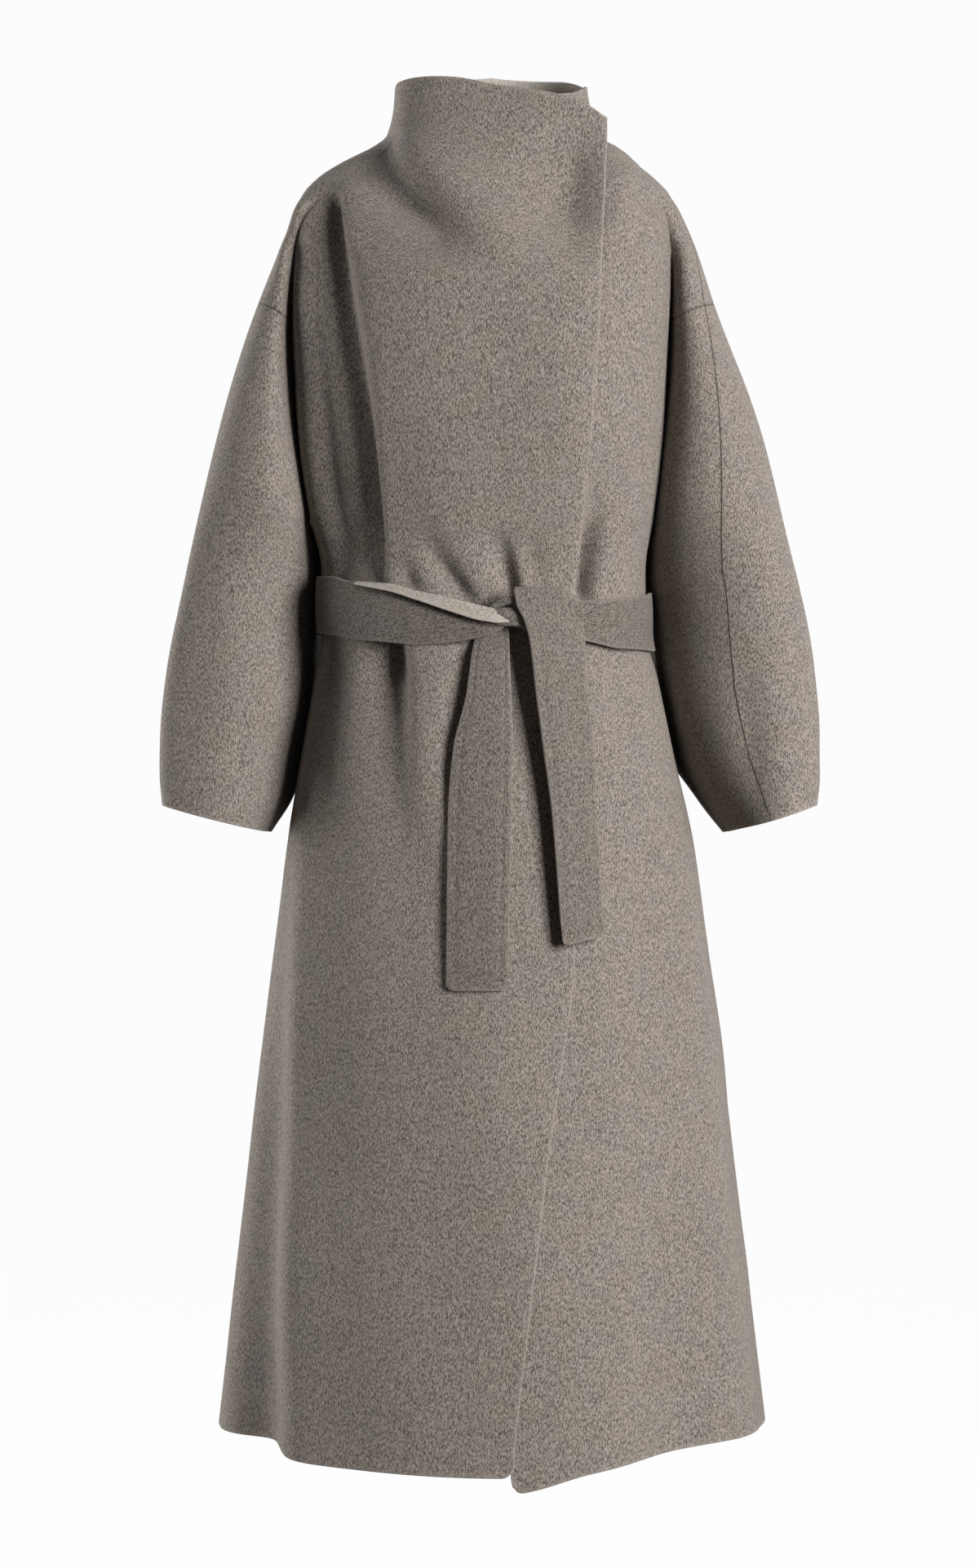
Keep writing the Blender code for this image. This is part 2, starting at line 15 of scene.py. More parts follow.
import bpy
import numpy as np
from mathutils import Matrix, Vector


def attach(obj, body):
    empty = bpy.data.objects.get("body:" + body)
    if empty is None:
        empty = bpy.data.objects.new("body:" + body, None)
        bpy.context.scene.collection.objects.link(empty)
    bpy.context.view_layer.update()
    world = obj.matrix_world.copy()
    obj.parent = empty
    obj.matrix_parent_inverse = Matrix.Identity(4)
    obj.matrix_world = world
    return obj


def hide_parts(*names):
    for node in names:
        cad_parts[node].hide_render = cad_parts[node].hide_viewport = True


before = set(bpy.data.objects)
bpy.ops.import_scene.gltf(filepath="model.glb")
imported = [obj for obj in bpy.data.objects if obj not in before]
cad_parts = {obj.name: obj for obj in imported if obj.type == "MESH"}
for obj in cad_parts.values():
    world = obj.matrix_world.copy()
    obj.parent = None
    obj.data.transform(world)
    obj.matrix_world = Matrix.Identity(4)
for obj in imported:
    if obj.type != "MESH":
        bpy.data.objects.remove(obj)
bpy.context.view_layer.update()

Array = np.ndarray
Colour = tuple[float, float, float]
log = logging.getLogger("funnel_neck_coat")

# Stations of the two crevices and of the arm's outermost line between them
FRONT_CREVICE = 1.0
OUTERMOST = 2.0
BACK_CREVICE = 3.0

# Length below which a normal counts as none
SHORTEST_NORMAL = 1e-12

WHITE: Colour = (1.0, 1.0, 1.0)
BLACK: Colour = (0.0, 0.0, 0.0)


class Side(Enum):
    """Sides of the wearer, with the sign that x has there."""

    RIGHT = -1.0
    LEFT = 1.0

    @property
    def word(self) -> str:
        """The side's name as it stands in node names and table columns."""
        return self.name.lower()

    @property
    def other(self) -> "Side":
        """The other side."""
        return Side(-self.value)


class Face(Enum):
    """Front and back, with the station at which a sleeve half starts."""

    FRONT = FRONT_CREVICE
    BACK = BACK_CREVICE


class Border(Enum):
    """Borders of a grid of points."""

    TOP = "top"
    BOTTOM = "bottom"
    FIRST = "first"
    LAST = "last"


class ClothSlot(IntEnum):
    """Material slots of a piece of cloth."""

    OUTER = 0
    REVERSE = 1


class Nap(Enum):
    """How long the wool's flecks and the single fibres in them are along x, y and z, in metres."""

    UPRIGHT = ((0.0008, 0.0008, 0.0028), (0.0002, 0.0002, 0.0030))
    ROUND_THE_WAIST = ((0.0024, 0.0018, 0.0008), (0.0026, 0.0020, 0.0002))


class Table:
    """Rows of sizes under named columns, in rising order of the first column."""

    def __init__(self, columns: str, rows: Sequence[tuple[float, ...]]) -> None:
        """Keep the rows as one array for each column.

        Args:
            columns: names of the columns, parted by spaces.
            rows: one tuple of sizes for each row.
        """
        ordered = np.array(sorted(rows), dtype=float)
        self.columns = dict(zip(columns.split(), ordered.T))
        self.keys = ordered[:, 0]

    def at(self, name: str, place: Array) -> Array:
        """Read a column between its rows, along cubic curves that never overshoot.

        Args:
            name: the column.
            place: where to read it, in units of the first column.

        Returns:
            The column's value at each place; past the ends it keeps the end values.
        """
        values = self.columns[name]
        slope = np.diff(values) / np.diff(self.keys)
        before, after = slope[:-1], slope[1:]
        same_way = before * after > 0.0
        total = np.where(same_way, before + after, 1.0)
        inner = np.where(same_way, 2.0 * before * after / total, 0.0)
        tangent = np.concatenate([slope[:1], inner, slope[-1:]])
        place = np.clip(place, self.keys[0], self.keys[-1])
        k = np.clip(np.searchsorted(self.keys, place, side="right") - 1, 0, len(self.keys) - 2)
        span = self.keys[k + 1] - self.keys[k]
        t = (place - self.keys[k]) / span
        start_weight = (1.0 + 2.0 * t) * (1.0 - t) ** 2
        start_pull = t * (1.0 - t) ** 2 * span
        end_pull = t * t * (t - 1.0) * span
        return (start_weight * values[k] + (1.0 - start_weight) * values[k + 1]
                + start_pull * tangent[k] + end_pull * tangent[k + 1])


def ease(t: Array) -> Array:
    """Run smoothly from 0 to 1, as three squares less two cubes."""
    t = np.clip(t, 0.0, 1.0)
    return t * t * (3.0 - 2.0 * t)


def mix(a: Array, b: Array, t: Array) -> Array:
    """Go from a to b as t goes from 0 to 1."""
    return a + (b - a) * t


def quarter_round(distance: Array, radius: float) -> Array:
    """Give how far a rounded edge drops: a quarter circle that reaches the radius where the distance is 0."""
    rest = radius - np.clip(distance, 0.0, radius)
    return radius - np.sqrt(radius ** 2 - rest ** 2)


# Torso: half width on each side, reach forward and back, and squareness of the section (2 is an oval)
BODY = Table("height right_half left_half front back squareness", [
    (0.085, 0.0900, 0.0845, 0.074, 0.078, 2.2),
    (0.040, 0.0910, 0.0855, 0.077, 0.077, 2.2),
    (0.012, 0.0960, 0.0905, 0.081, 0.075, 2.2),
    (0.000, 0.1085, 0.1055, 0.085, 0.074, 2.2),
    (-0.008, 0.1225, 0.1210, 0.088, 0.075, 2.2),
    (-0.018, 0.1415, 0.1400, 0.091, 0.078, 2.2),
    (-0.030, 0.1605, 0.1540, 0.095, 0.084, 2.3),
    (-0.045, 0.1740, 0.1650, 0.100, 0.090, 2.4),
    (-0.095, 0.1810, 0.1660, 0.112, 0.105, 2.6),
    (-0.160, 0.1830, 0.1640, 0.121, 0.114, 2.8),
    (-0.230, 0.1800, 0.1600, 0.125, 0.117, 2.8),
    (-0.334, 0.1670, 0.1490, 0.119, 0.108, 2.6),
    (-0.388, 0.1550, 0.1420, 0.115, 0.102, 2.4),
    (-0.440, 0.1550, 0.1420, 0.115, 0.101, 2.3),
    (-0.484, 0.1620, 0.1530, 0.121, 0.107, 2.2),
    (-0.560, 0.1755, 0.1690, 0.137, 0.127, 2.1),
    (-0.641, 0.1875, 0.1860, 0.150, 0.145, 2.0),
    (-0.791, 0.2070, 0.2070, 0.172, 0.168, 2.0),
    (-0.941, 0.2245, 0.2250, 0.190, 0.190, 2.0),
    (-1.091, 0.2415, 0.2430, 0.205, 0.207, 2.0),
    (-1.200, 0.2540, 0.2560, 0.215, 0.219, 2.0),
])

# Front edges: how far each one lies past the centre line
LAP = Table("height right left", [
    (0.060, 0.1005, 0.050),
    (-0.020, 0.1010, 0.085),
    (-0.165, 0.0962, 0.095),
    (-0.396, 0.0790, 0.084),
    (-0.731, 0.0730, 0.044),
    (-0.925, 0.0477, 0.016),
    (-1.200, 0.0140, -0.023),
])

# Top edge of the collar, by degrees round from the front (negative past the centre line)
COLLAR_EDGE = Table("degrees right left", [
    (-38.5, 0.0120, 0.028),
    (-24, 0.0325, 0.030),
    (0, 0.0445, 0.033),
    (22, 0.0520, 0.035),
    (45, 0.0550, 0.040),
    (70, 0.0565, 0.053),
    (90, 0.0590, 0.058),
    (130, 0.0760, 0.074),
    (180, 0.0830, 0.083),
])

# Hem, by degrees round from the front
HEM_EDGE = Table("degrees right left", [
    (-10, -1.1760, -1.1920),
    (4, -1.1755, -1.1900),
    (20, -1.1740, -1.1755),
    (45, -1.1715, -1.1645),
    (56, -1.1645, -1.1620),
    (70, -1.1660, -1.1610),
    (90, -1.1690, -1.1660),
    (135, -1.1720, -1.1700),
    (180, -1.1750, -1.1750),
])

# Arm above the armpit: where the front and back crevices lie, how far the cloth turns there, and the handles
# of its curve; in front the chest stands before the crevice and hides it
CREVICE = Table("level front front_turn back back_turn reach_in reach_out", [
    (-0.045, 60.0, 0.0, 60.0, 0.0, 0.022, 0.018),
    (-0.080, 70.0, 110.0, 62.0, 35.0, 0.012, 0.034),
    (-0.115, 76.0, 162.0, 66.0, 85.0, 0.040, 0.042),
    (-0.160, 83.0, 177.0, 71.0, 115.0, 0.060, 0.050),
    (-0.245, 87.0, 180.0, 79.0, 150.0, 0.092, 0.060),
    (-0.334, 90.0, 180.0, 90.0, 180.0, 0.116, 0.062),
])

# Sleeves: height and place of the outermost line, and below the armpit the inner line, how far it lies
# forward, how far the front half leans out from the body there and the back half towards it, and half of
# the depth
SLEEVE = Table(
    "level outer_height right_out left_out centre right_in left_in in_depth front_lean back_lean reach",
    [
        (-0.045, -0.0450, 0.1740, 0.1650, 0.000, 0.1670, 0.1490, 0.000, 0.0, 0.0, 0.066),
        (-0.080, -0.0780, 0.1875, 0.1825, 0.000, 0.1670, 0.1490, 0.000, 0.0, 0.0, 0.066),
        (-0.160, -0.1430, 0.2135, 0.2075, 0.001, 0.1670, 0.1490, 0.000, 0.0, 0.0, 0.066),
        (-0.245, -0.2250, 0.2400, 0.2355, 0.005, 0.1670, 0.1490, 0.000, 0.0, 0.0, 0.066),
        (-0.334, -0.3120, 0.2635, 0.2610, 0.011, 0.1670, 0.1490, 0.000, 0.0, 0.0, 0.066),
        (-0.365, -0.3420, 0.2703, 0.2678, 0.014, 0.1612, 0.1447, -0.018, 2.0, 6.0, 0.067),
        (-0.393, -0.3700, 0.2760, 0.2736, 0.017, 0.1590, 0.1445, -0.030, 2.0, 12.0, 0.067),
        (-0.420, -0.3970, 0.2810, 0.2790, 0.019, 0.1615, 0.1485, -0.034, 3.0, 17.0, 0.068),
        (-0.500, -0.4780, 0.2940, 0.2925, 0.027, 0.1660, 0.1575, -0.026, 3.0, 24.0, 0.069),
        (-0.560, -0.5380, 0.2995, 0.2985, 0.032, 0.1765, 0.1735, -0.020, 5.0, 21.0, 0.067),
        (-0.595, -0.5730, 0.3005, 0.2985, 0.035, 0.1850, 0.1930, -0.008, 6.0, 12.0, 0.063),
        (-0.626, -0.6015, 0.2985, 0.2955, 0.037, 0.2030, 0.2150, 0.010, 6.0, 8.0, 0.056),
    ],
)

# Station of the seam that joins front and back along shoulder and sleeve
SEAM = Table("level right left", [
    (0.060, 2.00, 2.25),
    (0.000, 1.95, 2.00),
    (-0.030, 1.85, 1.80),
    (-0.160, 2.05, 1.62),
    (-0.420, 2.10, 1.47),
    (-0.626, 2.10, 1.42),
])


@dataclass(frozen=True)
class Fold:
    """A large fold of the torso, with its place and depth at its upper and lower end.

    Attributes:
        side: the side that its degrees are counted on, from the front.
        top: height of the upper end.
        bottom: height of the lower end.
        degrees: place round the torso at both ends.
        depth: height of the fold at both ends; negative is a valley.
        width: degrees over which it falls off.
    """

    side: Side
    top: float
    bottom: float
    degrees: tuple[float, float]
    depth: tuple[float, float]
    width: float

    def lift(self, here: Array, height: Array, fade: float) -> Array:
        """Give the fold's height: a bell across it, faded in and out at its ends.

        Args:
            here: degrees round from the front, positive to the wearer's left.
            height: heights of the points.
            fade: length of the fading at the ends.

        Returns:
            How far each point moves out.
        """
        along = np.clip((self.top - height) / (self.top - self.bottom), 0.0, 1.0)
        middle = self.side.value * mix(*self.degrees, along)
        away = ((here - middle + 180.0) % 360.0 - 180.0) / self.width
        window = ease((self.top - height) / fade) * ease((height - self.bottom) / fade)
        return mix(*self.depth, along) * window * np.exp(-away ** 2)


# Large folds of the skirt: those of the solids, most of them softer
FOLDS = (
    Fold(Side.RIGHT, -0.450, -0.620, (31, 27), (-0.005, 0.000), 7),
    Fold(Side.RIGHT, -0.600, -1.330, (73, 55), (0.000, -0.028), 12),
    Fold(Side.RIGHT, -0.560, -1.330, (66, 40), (0.003, 0.007), 9),
    Fold(Side.LEFT, -0.600, -1.330, (47, 38), (0.000, -0.016), 12),
    Fold(Side.LEFT, -0.560, -1.330, (66, 62), (0.002, 0.007), 10),
    Fold(Side.RIGHT, -0.560, -1.330, (128, 132), (0.000, -0.022), 11),
    Fold(Side.LEFT, -0.540, -1.330, (136, 140), (0.000, -0.020), 11),
)


@dataclass(frozen=True)
class CoatCut:
    """The outline that all panels are cut from, by side, station and level.

    Attributes:
        collar_level: level of the collar's top edge.
        cap_level: level below which the arm parts from the torso.
        armhole_level: level of the armhole's seam.
        underarm_level: level of the armpit.
        hem_start: level below which rows fan out to the hem.
        hem_level: level of the hem.
        cuff_level: level of the cuffs.
        lap_inset: how far the left front lies inside the right one.
        lapel_half_width: half width of the section that the upper front's lapel follows.
        lapel_top: height above which it follows that section alone.
        lapel_bottom: height below which it lies on the chest.
        fold_fade: length over which a fold starts and ends.
        tangent_step: step in radians that finds the torso's direction at a crevice.
        handle_reach: how far a sleeve's curve reaches for each length of its handles.
        inner_fullness: share of the handles' length at the sleeve's inner line.
        outer_fullness: share of it at the outermost line.
        widest_share: largest share of the half width at which a place round the section is looked up.
    """

    collar_level: float = 0.060
    cap_level: float = -0.045
    armhole_level: float = -0.160
    underarm_level: float = -0.334
    hem_start: float = -1.000
    hem_level: float = -1.175
    cuff_level: float = -0.626
    lap_inset: float = 0.0045
    lapel_half_width: float = 0.160
    lapel_top: float = -0.040
    lapel_bottom: float = -0.120
    fold_fade: float = 0.035
    tangent_step: float = 0.01
    handle_reach: float = 0.75
    inner_fullness: float = 1.30
    outer_fullness: float = 0.70
    widest_share: float = 0.99

    def inset(self, side: Side) -> float:
        """Give how far a front lies inside the outline: the left one is the lower."""
        return self.lap_inset if side is Side.LEFT else 0.0

    def half_width(self, side: Side, angle: Array, height: Array, inset: float) -> Array:
        """Give the half width that a section point belongs to.

        Past the centre line the upper front stands off the neck as a flat lapel, and the lower one stays
        inside the upper one.

        Args:
            side: side of the row.
            angle: angles round from the front.
            height: heights of the points.
            inset: how far the cloth lies inside the outline.

        Returns:
            Half width of the section at each point.
        """
        own = BODY.at(side.word + "_half", height)
        other = BODY.at(side.other.word + "_half", height)
        lapel = ease((height - self.lapel_bottom) / (self.lapel_top - self.lapel_bottom))
        flat = mix(other, np.maximum(other, self.lapel_half_width), lapel)
        past_centre = other - inset if inset > 0.0 else flat
        return np.where(angle < 0.0, past_centre, own)

    def torso(self, side: Side, angle: Array, height: Array, inset: float,
              lift: Array | float = 0.0) -> tuple[Array, Array]:
        """Give x and depth of the torso: a rounded-square section, moved out by its folds and by lift.

        Args:
            side: side of the row; x counts positive on it.
            angle: angles round from the front.
            height: heights of the points.
            inset: how far the cloth lies inside the outline.
            lift: how far the points stand off the outline.

        Returns:
            Distance from the centre line, and depth.
        """
        square = BODY.at("squareness", height)
        half = self.half_width(side, angle, height, inset)
        reach = np.where(np.cos(angle) > 0.0, BODY.at("front", height) - inset, BODY.at("back", height))
        across, along = np.sin(angle), np.cos(angle)
        radius = (np.abs(across) ** square + np.abs(along) ** square) ** (-1.0 / square)
        across, along = across * radius, along * radius
        out_x = np.sign(across) * np.abs(across) ** (square - 1.0) / half
        out_depth = np.sign(along) * np.abs(along) ** (square - 1.0) / reach
        length = np.hypot(out_x, out_depth)
        here = side.value * np.degrees(angle)
        moved = lift + sum(fold.lift(here, height, self.fold_fade) for fold in FOLDS)
        return half * across + moved * out_x / length, reach * along + moved * out_depth / length

    def angle_at(self, side: Side, x: Array, height: Array, inset: float) -> Array:
        """Give the angle round the section at which it is x wide.

        Args:
            side: side of the row; x counts positive on it.
            x: distances from the centre line.
            height: heights of the points.
            inset: how far the cloth lies inside the outline.

        Returns:
            Angles round from the front.
        """
        half = self.half_width(side, np.where(x < 0.0, -1.0, 1.0), height, inset)
        square = BODY.at("squareness", height)
        share = np.clip(x / half, -self.widest_share, self.widest_share)
        return np.arctan2(share, (1.0 - np.abs(share) ** square) ** (1.0 / square))

    def row_angle(self, side: Side, station: Array, level: Array) -> Array:
        """Give the angle round the torso of a station, evenly spread between the numbered places.

        Args:
            side: side of the row.
            station: stations of the points.
            level: levels of the rows.

        Returns:
            Angles round from the front.
        """
        edge = self.angle_at(side, -LAP.at(side.word, level), level, self.inset(side))
        arm_level = np.minimum(level, self.cap_level)
        front = np.radians(CREVICE.at("front", arm_level))
        back = np.pi - np.radians(CREVICE.at("back", arm_level))
        chest = mix(edge, front, station)
        flank = mix(front, back, (station - FRONT_CREVICE) / (BACK_CREVICE - FRONT_CREVICE))
        blade = mix(back, np.pi, station - BACK_CREVICE)
        return np.where(station <= FRONT_CREVICE, chest, np.where(station < BACK_CREVICE, flank, blade))

    def settle(self, side: Side, angle: Array, level: Array) -> Array:
        """Turn a level into a height: rows fan out to the collar's top edge and to the hem.

        Args:
            side: side of the row.
            angle: angles round from the front.
            level: levels of the rows.

        Returns:
            Heights of the points.
        """
        degrees = np.degrees(angle)
        top = COLLAR_EDGE.at(side.word, degrees)
        hem = HEM_EDGE.at(side.word, degrees)
        collar = level * top / self.collar_level
        fan = (hem - self.hem_start) / (self.hem_level - self.hem_start)
        skirt = self.hem_start + (level - self.hem_start) * fan
        return np.where(level > 0.0, collar, np.where(level < self.hem_start, skirt, level))

    def arm(self, side: Side, station: Array, level: Array,
            clear: Array | float) -> tuple[Array, Array, Array]:
        """Give x, depth and height on the arm tube between the crevices.

        Above the armpit each half is a cubic curve from the crevice, which it leaves turned away from the
        chest, to the outermost line. Below it the two halves close into the sleeve's ring.

        Args:
            side: side of the row; x counts positive on it.
            station: stations of the points, from 1 to 3.
            level: levels of the rows.
            clear: how far the sleeve's inner edge stands clear of the body.

        Returns:
            Distance from the centre line, depth and height.
        """
        inset = self.inset(side)
        front = station <= OUTERMOST
        ahead, behind = np.radians(CREVICE.at("front", level)), np.radians(CREVICE.at("back", level))
        angle = np.where(front, ahead, np.pi - behind)
        turn = np.where(front, CREVICE.at("front_turn", level), CREVICE.at("back_turn", level))
        facing = np.where(front, 1.0, -1.0)
        x, depth = self.torso(side, angle, level, inset)
        after = self.torso(side, angle + facing * self.tangent_step, level, inset)
        before = self.torso(side, angle - facing * self.tangent_step, level, inset)
        heading = np.arctan2(facing * (after[1] - before[1]), after[0] - before[0])
        heading = heading + np.radians(turn)
        is_sleeve = level < self.underarm_level
        lean = np.radians(np.where(front, SLEEVE.at("front_lean", level), SLEEVE.at("back_lean", level)))
        heading = np.where(is_sleeve, 0.5 * np.pi - facing * lean, heading)
        centre = SLEEVE.at("centre", level)
        ring_reach = SLEEVE.at("reach", level) / self.handle_reach
        x = np.where(is_sleeve, SLEEVE.at(side.word + "_in", level), x) + clear
        depth = np.where(is_sleeve, SLEEVE.at("in_depth", level), depth)
        reach_in = np.where(is_sleeve, self.inner_fullness * ring_reach, CREVICE.at("reach_in", level))
        reach_out = np.where(is_sleeve, self.outer_fullness * ring_reach, CREVICE.at("reach_out", level))
        outer_x = SLEEVE.at(side.word + "_out", level)
        t = np.where(front, station - FRONT_CREVICE, BACK_CREVICE - station)
        weights = ((1.0 - t) ** 3, 3.0 * t * (1.0 - t) ** 2, 3.0 * t * t * (1.0 - t), t ** 3)
        handle_x = x + reach_in * np.cos(heading)
        handle_depth = depth + facing * reach_in * np.sin(heading)
        curve_x = weights[0] * x + weights[1] * handle_x + (weights[2] + weights[3]) * outer_x
        curve_depth = (weights[0] * depth + weights[1] * handle_depth
                       + weights[2] * (centre + facing * reach_out) + weights[3] * centre)
        rise = SLEEVE.at("outer_height", level) - level
        return curve_x, curve_depth, level + rise * (curve_x - x) / (outer_x - x)

    def points(self, side: Side, station: Array, level: Array, clear: Array | float = 0.0) -> Array:
        """Give the outer face of the cloth as a grid: the torso, and the arm tube between the crevices.

        Args:
            side: side of the rows.
            station: stations, a row for each level.
            level: levels, as a column.
            clear: how far a sleeve's inner edge stands clear of the body; 0 on the body's own panels.

        Returns:
            Points by row and column.
        """
        angle = self.row_angle(side, station, level)
        height = self.settle(side, angle, level)
        x, depth = self.torso(side, angle, height, self.inset(side))
        arm_x, arm_depth, arm_height = self.arm(side, station, level, clear)
        on_arm = (station > FRONT_CREVICE) & (station < BACK_CREVICE)
        at_sleeve_edge = ((station == FRONT_CREVICE) | (station == BACK_CREVICE)) & (clear > 0.0)
        use_arm = (level < self.cap_level) & (on_arm | at_sleeve_edge)
        return np.stack([
            side.value * np.where(use_arm, arm_x, x),
            -np.where(use_arm, arm_depth, depth),
            np.where(use_arm, arm_height, height),
        ], axis=-1)

    def outside(self, degrees: Array, height: Array, lift: Array | float) -> Array:
        """Give points that stand off the outside of the coat by a lift.

        Args:
            degrees: places round from the front, positive to the wearer's left.
            height: heights of the points.
            lift: how far they stand off.

        Returns:
            Points by row and column.
        """
        degrees = (degrees + 180.0) % 360.0 - 180.0
        angle = np.radians(np.abs(degrees))
        right = self.torso(Side.RIGHT, angle, height, 0.0, lift)
        left = self.torso(Side.LEFT, angle, height, 0.0, lift)
        x = np.where(degrees <= 0.0, -right[0], left[0])
        depth = np.where(degrees <= 0.0, right[1], left[1])
        return np.stack([x, -depth, np.broadcast_to(height, x.shape)], axis=-1)

    def before_front(self, x: Array, height: Array, lift: Array | float) -> Array:
        """Give points of known x that stand off the front of the coat by a lift.

        Args:
            x: places across the front, positive to the wearer's left.
            height: heights of the points.
            lift: how far they stand off.

        Returns:
            Points by row and column.
        """
        right = self.angle_at(Side.RIGHT, -x, height, 0.0)
        left = self.angle_at(Side.LEFT, x, height, 0.0)
        return self.outside(np.degrees(np.where(x < 0.0, -right, left)), height, lift)


# Where a brow stands beyond its trough and how wide it is, in widths of the trough's steep side, and the
# power of the trough's depth that it grows with
BROW_PLACE = 1.6
BROW_WIDTH = 1.3
BROW_POWER = 3


@dataclass(frozen=True)
class Crease:
    """A soft trough or ridge that runs down the cloth, as uneven as its rows make it.

    Attributes:
        face: the side of the coat that it lies on.
        line: rows of its height, x, depth (negative is a trough) and width to smaller and larger x.
        overlap: how far the brow at larger x rolls over the trough.
        on_sleeve: whether it lies on a sleeve; the others end at the crevice between chest and arm.
    """

    face: Face
    line: Table
    overlap: float = 0.0
    on_sleeve: bool = False

    def lift(self, x: Array, height: Array) -> Array:
        """Give the crease's height: a bell across it, with its own width on either side.

        Args:
            x: places across the coat.
            height: heights of the points.

        Returns:
            How far each point moves out.
        """
        beside = x - self.line.at("x", height)
        width = np.where(beside < 0.0, self.line.at("below", height), self.line.at("above", height))
        return self.line.at("depth", height) * np.exp(-(beside / width) ** 2)

    def slide(self, x: Array, height: Array) -> Array:
        """Give how far the brow rolls over: a bell a little beyond the trough, where that is deep.

        Args:
            x: places across the coat.
            height: heights of the points.

        Returns:
            How far each point moves to smaller x.
        """
        depth = self.line.at("depth", height)
        width = BROW_WIDTH * self.line.at("above", height)
        beyond = x - self.line.at("x", height) - BROW_PLACE * self.line.at("above", height)
        deepest = np.abs(self.line.columns["depth"]).max()
        return self.overlap * (np.abs(depth) / deepest) ** BROW_POWER * np.exp(-(beyond / width) ** 2)


def crease(face: Face, *rows: tuple[float, float, float, float, float], overlap: float = 0.0,
           on_sleeve: bool = False) -> Crease:
    """Make a crease from rows of height, x, depth and width towards smaller and larger x."""
    return Crease(face, Table("height x depth below above", rows), overlap, on_sleeve)


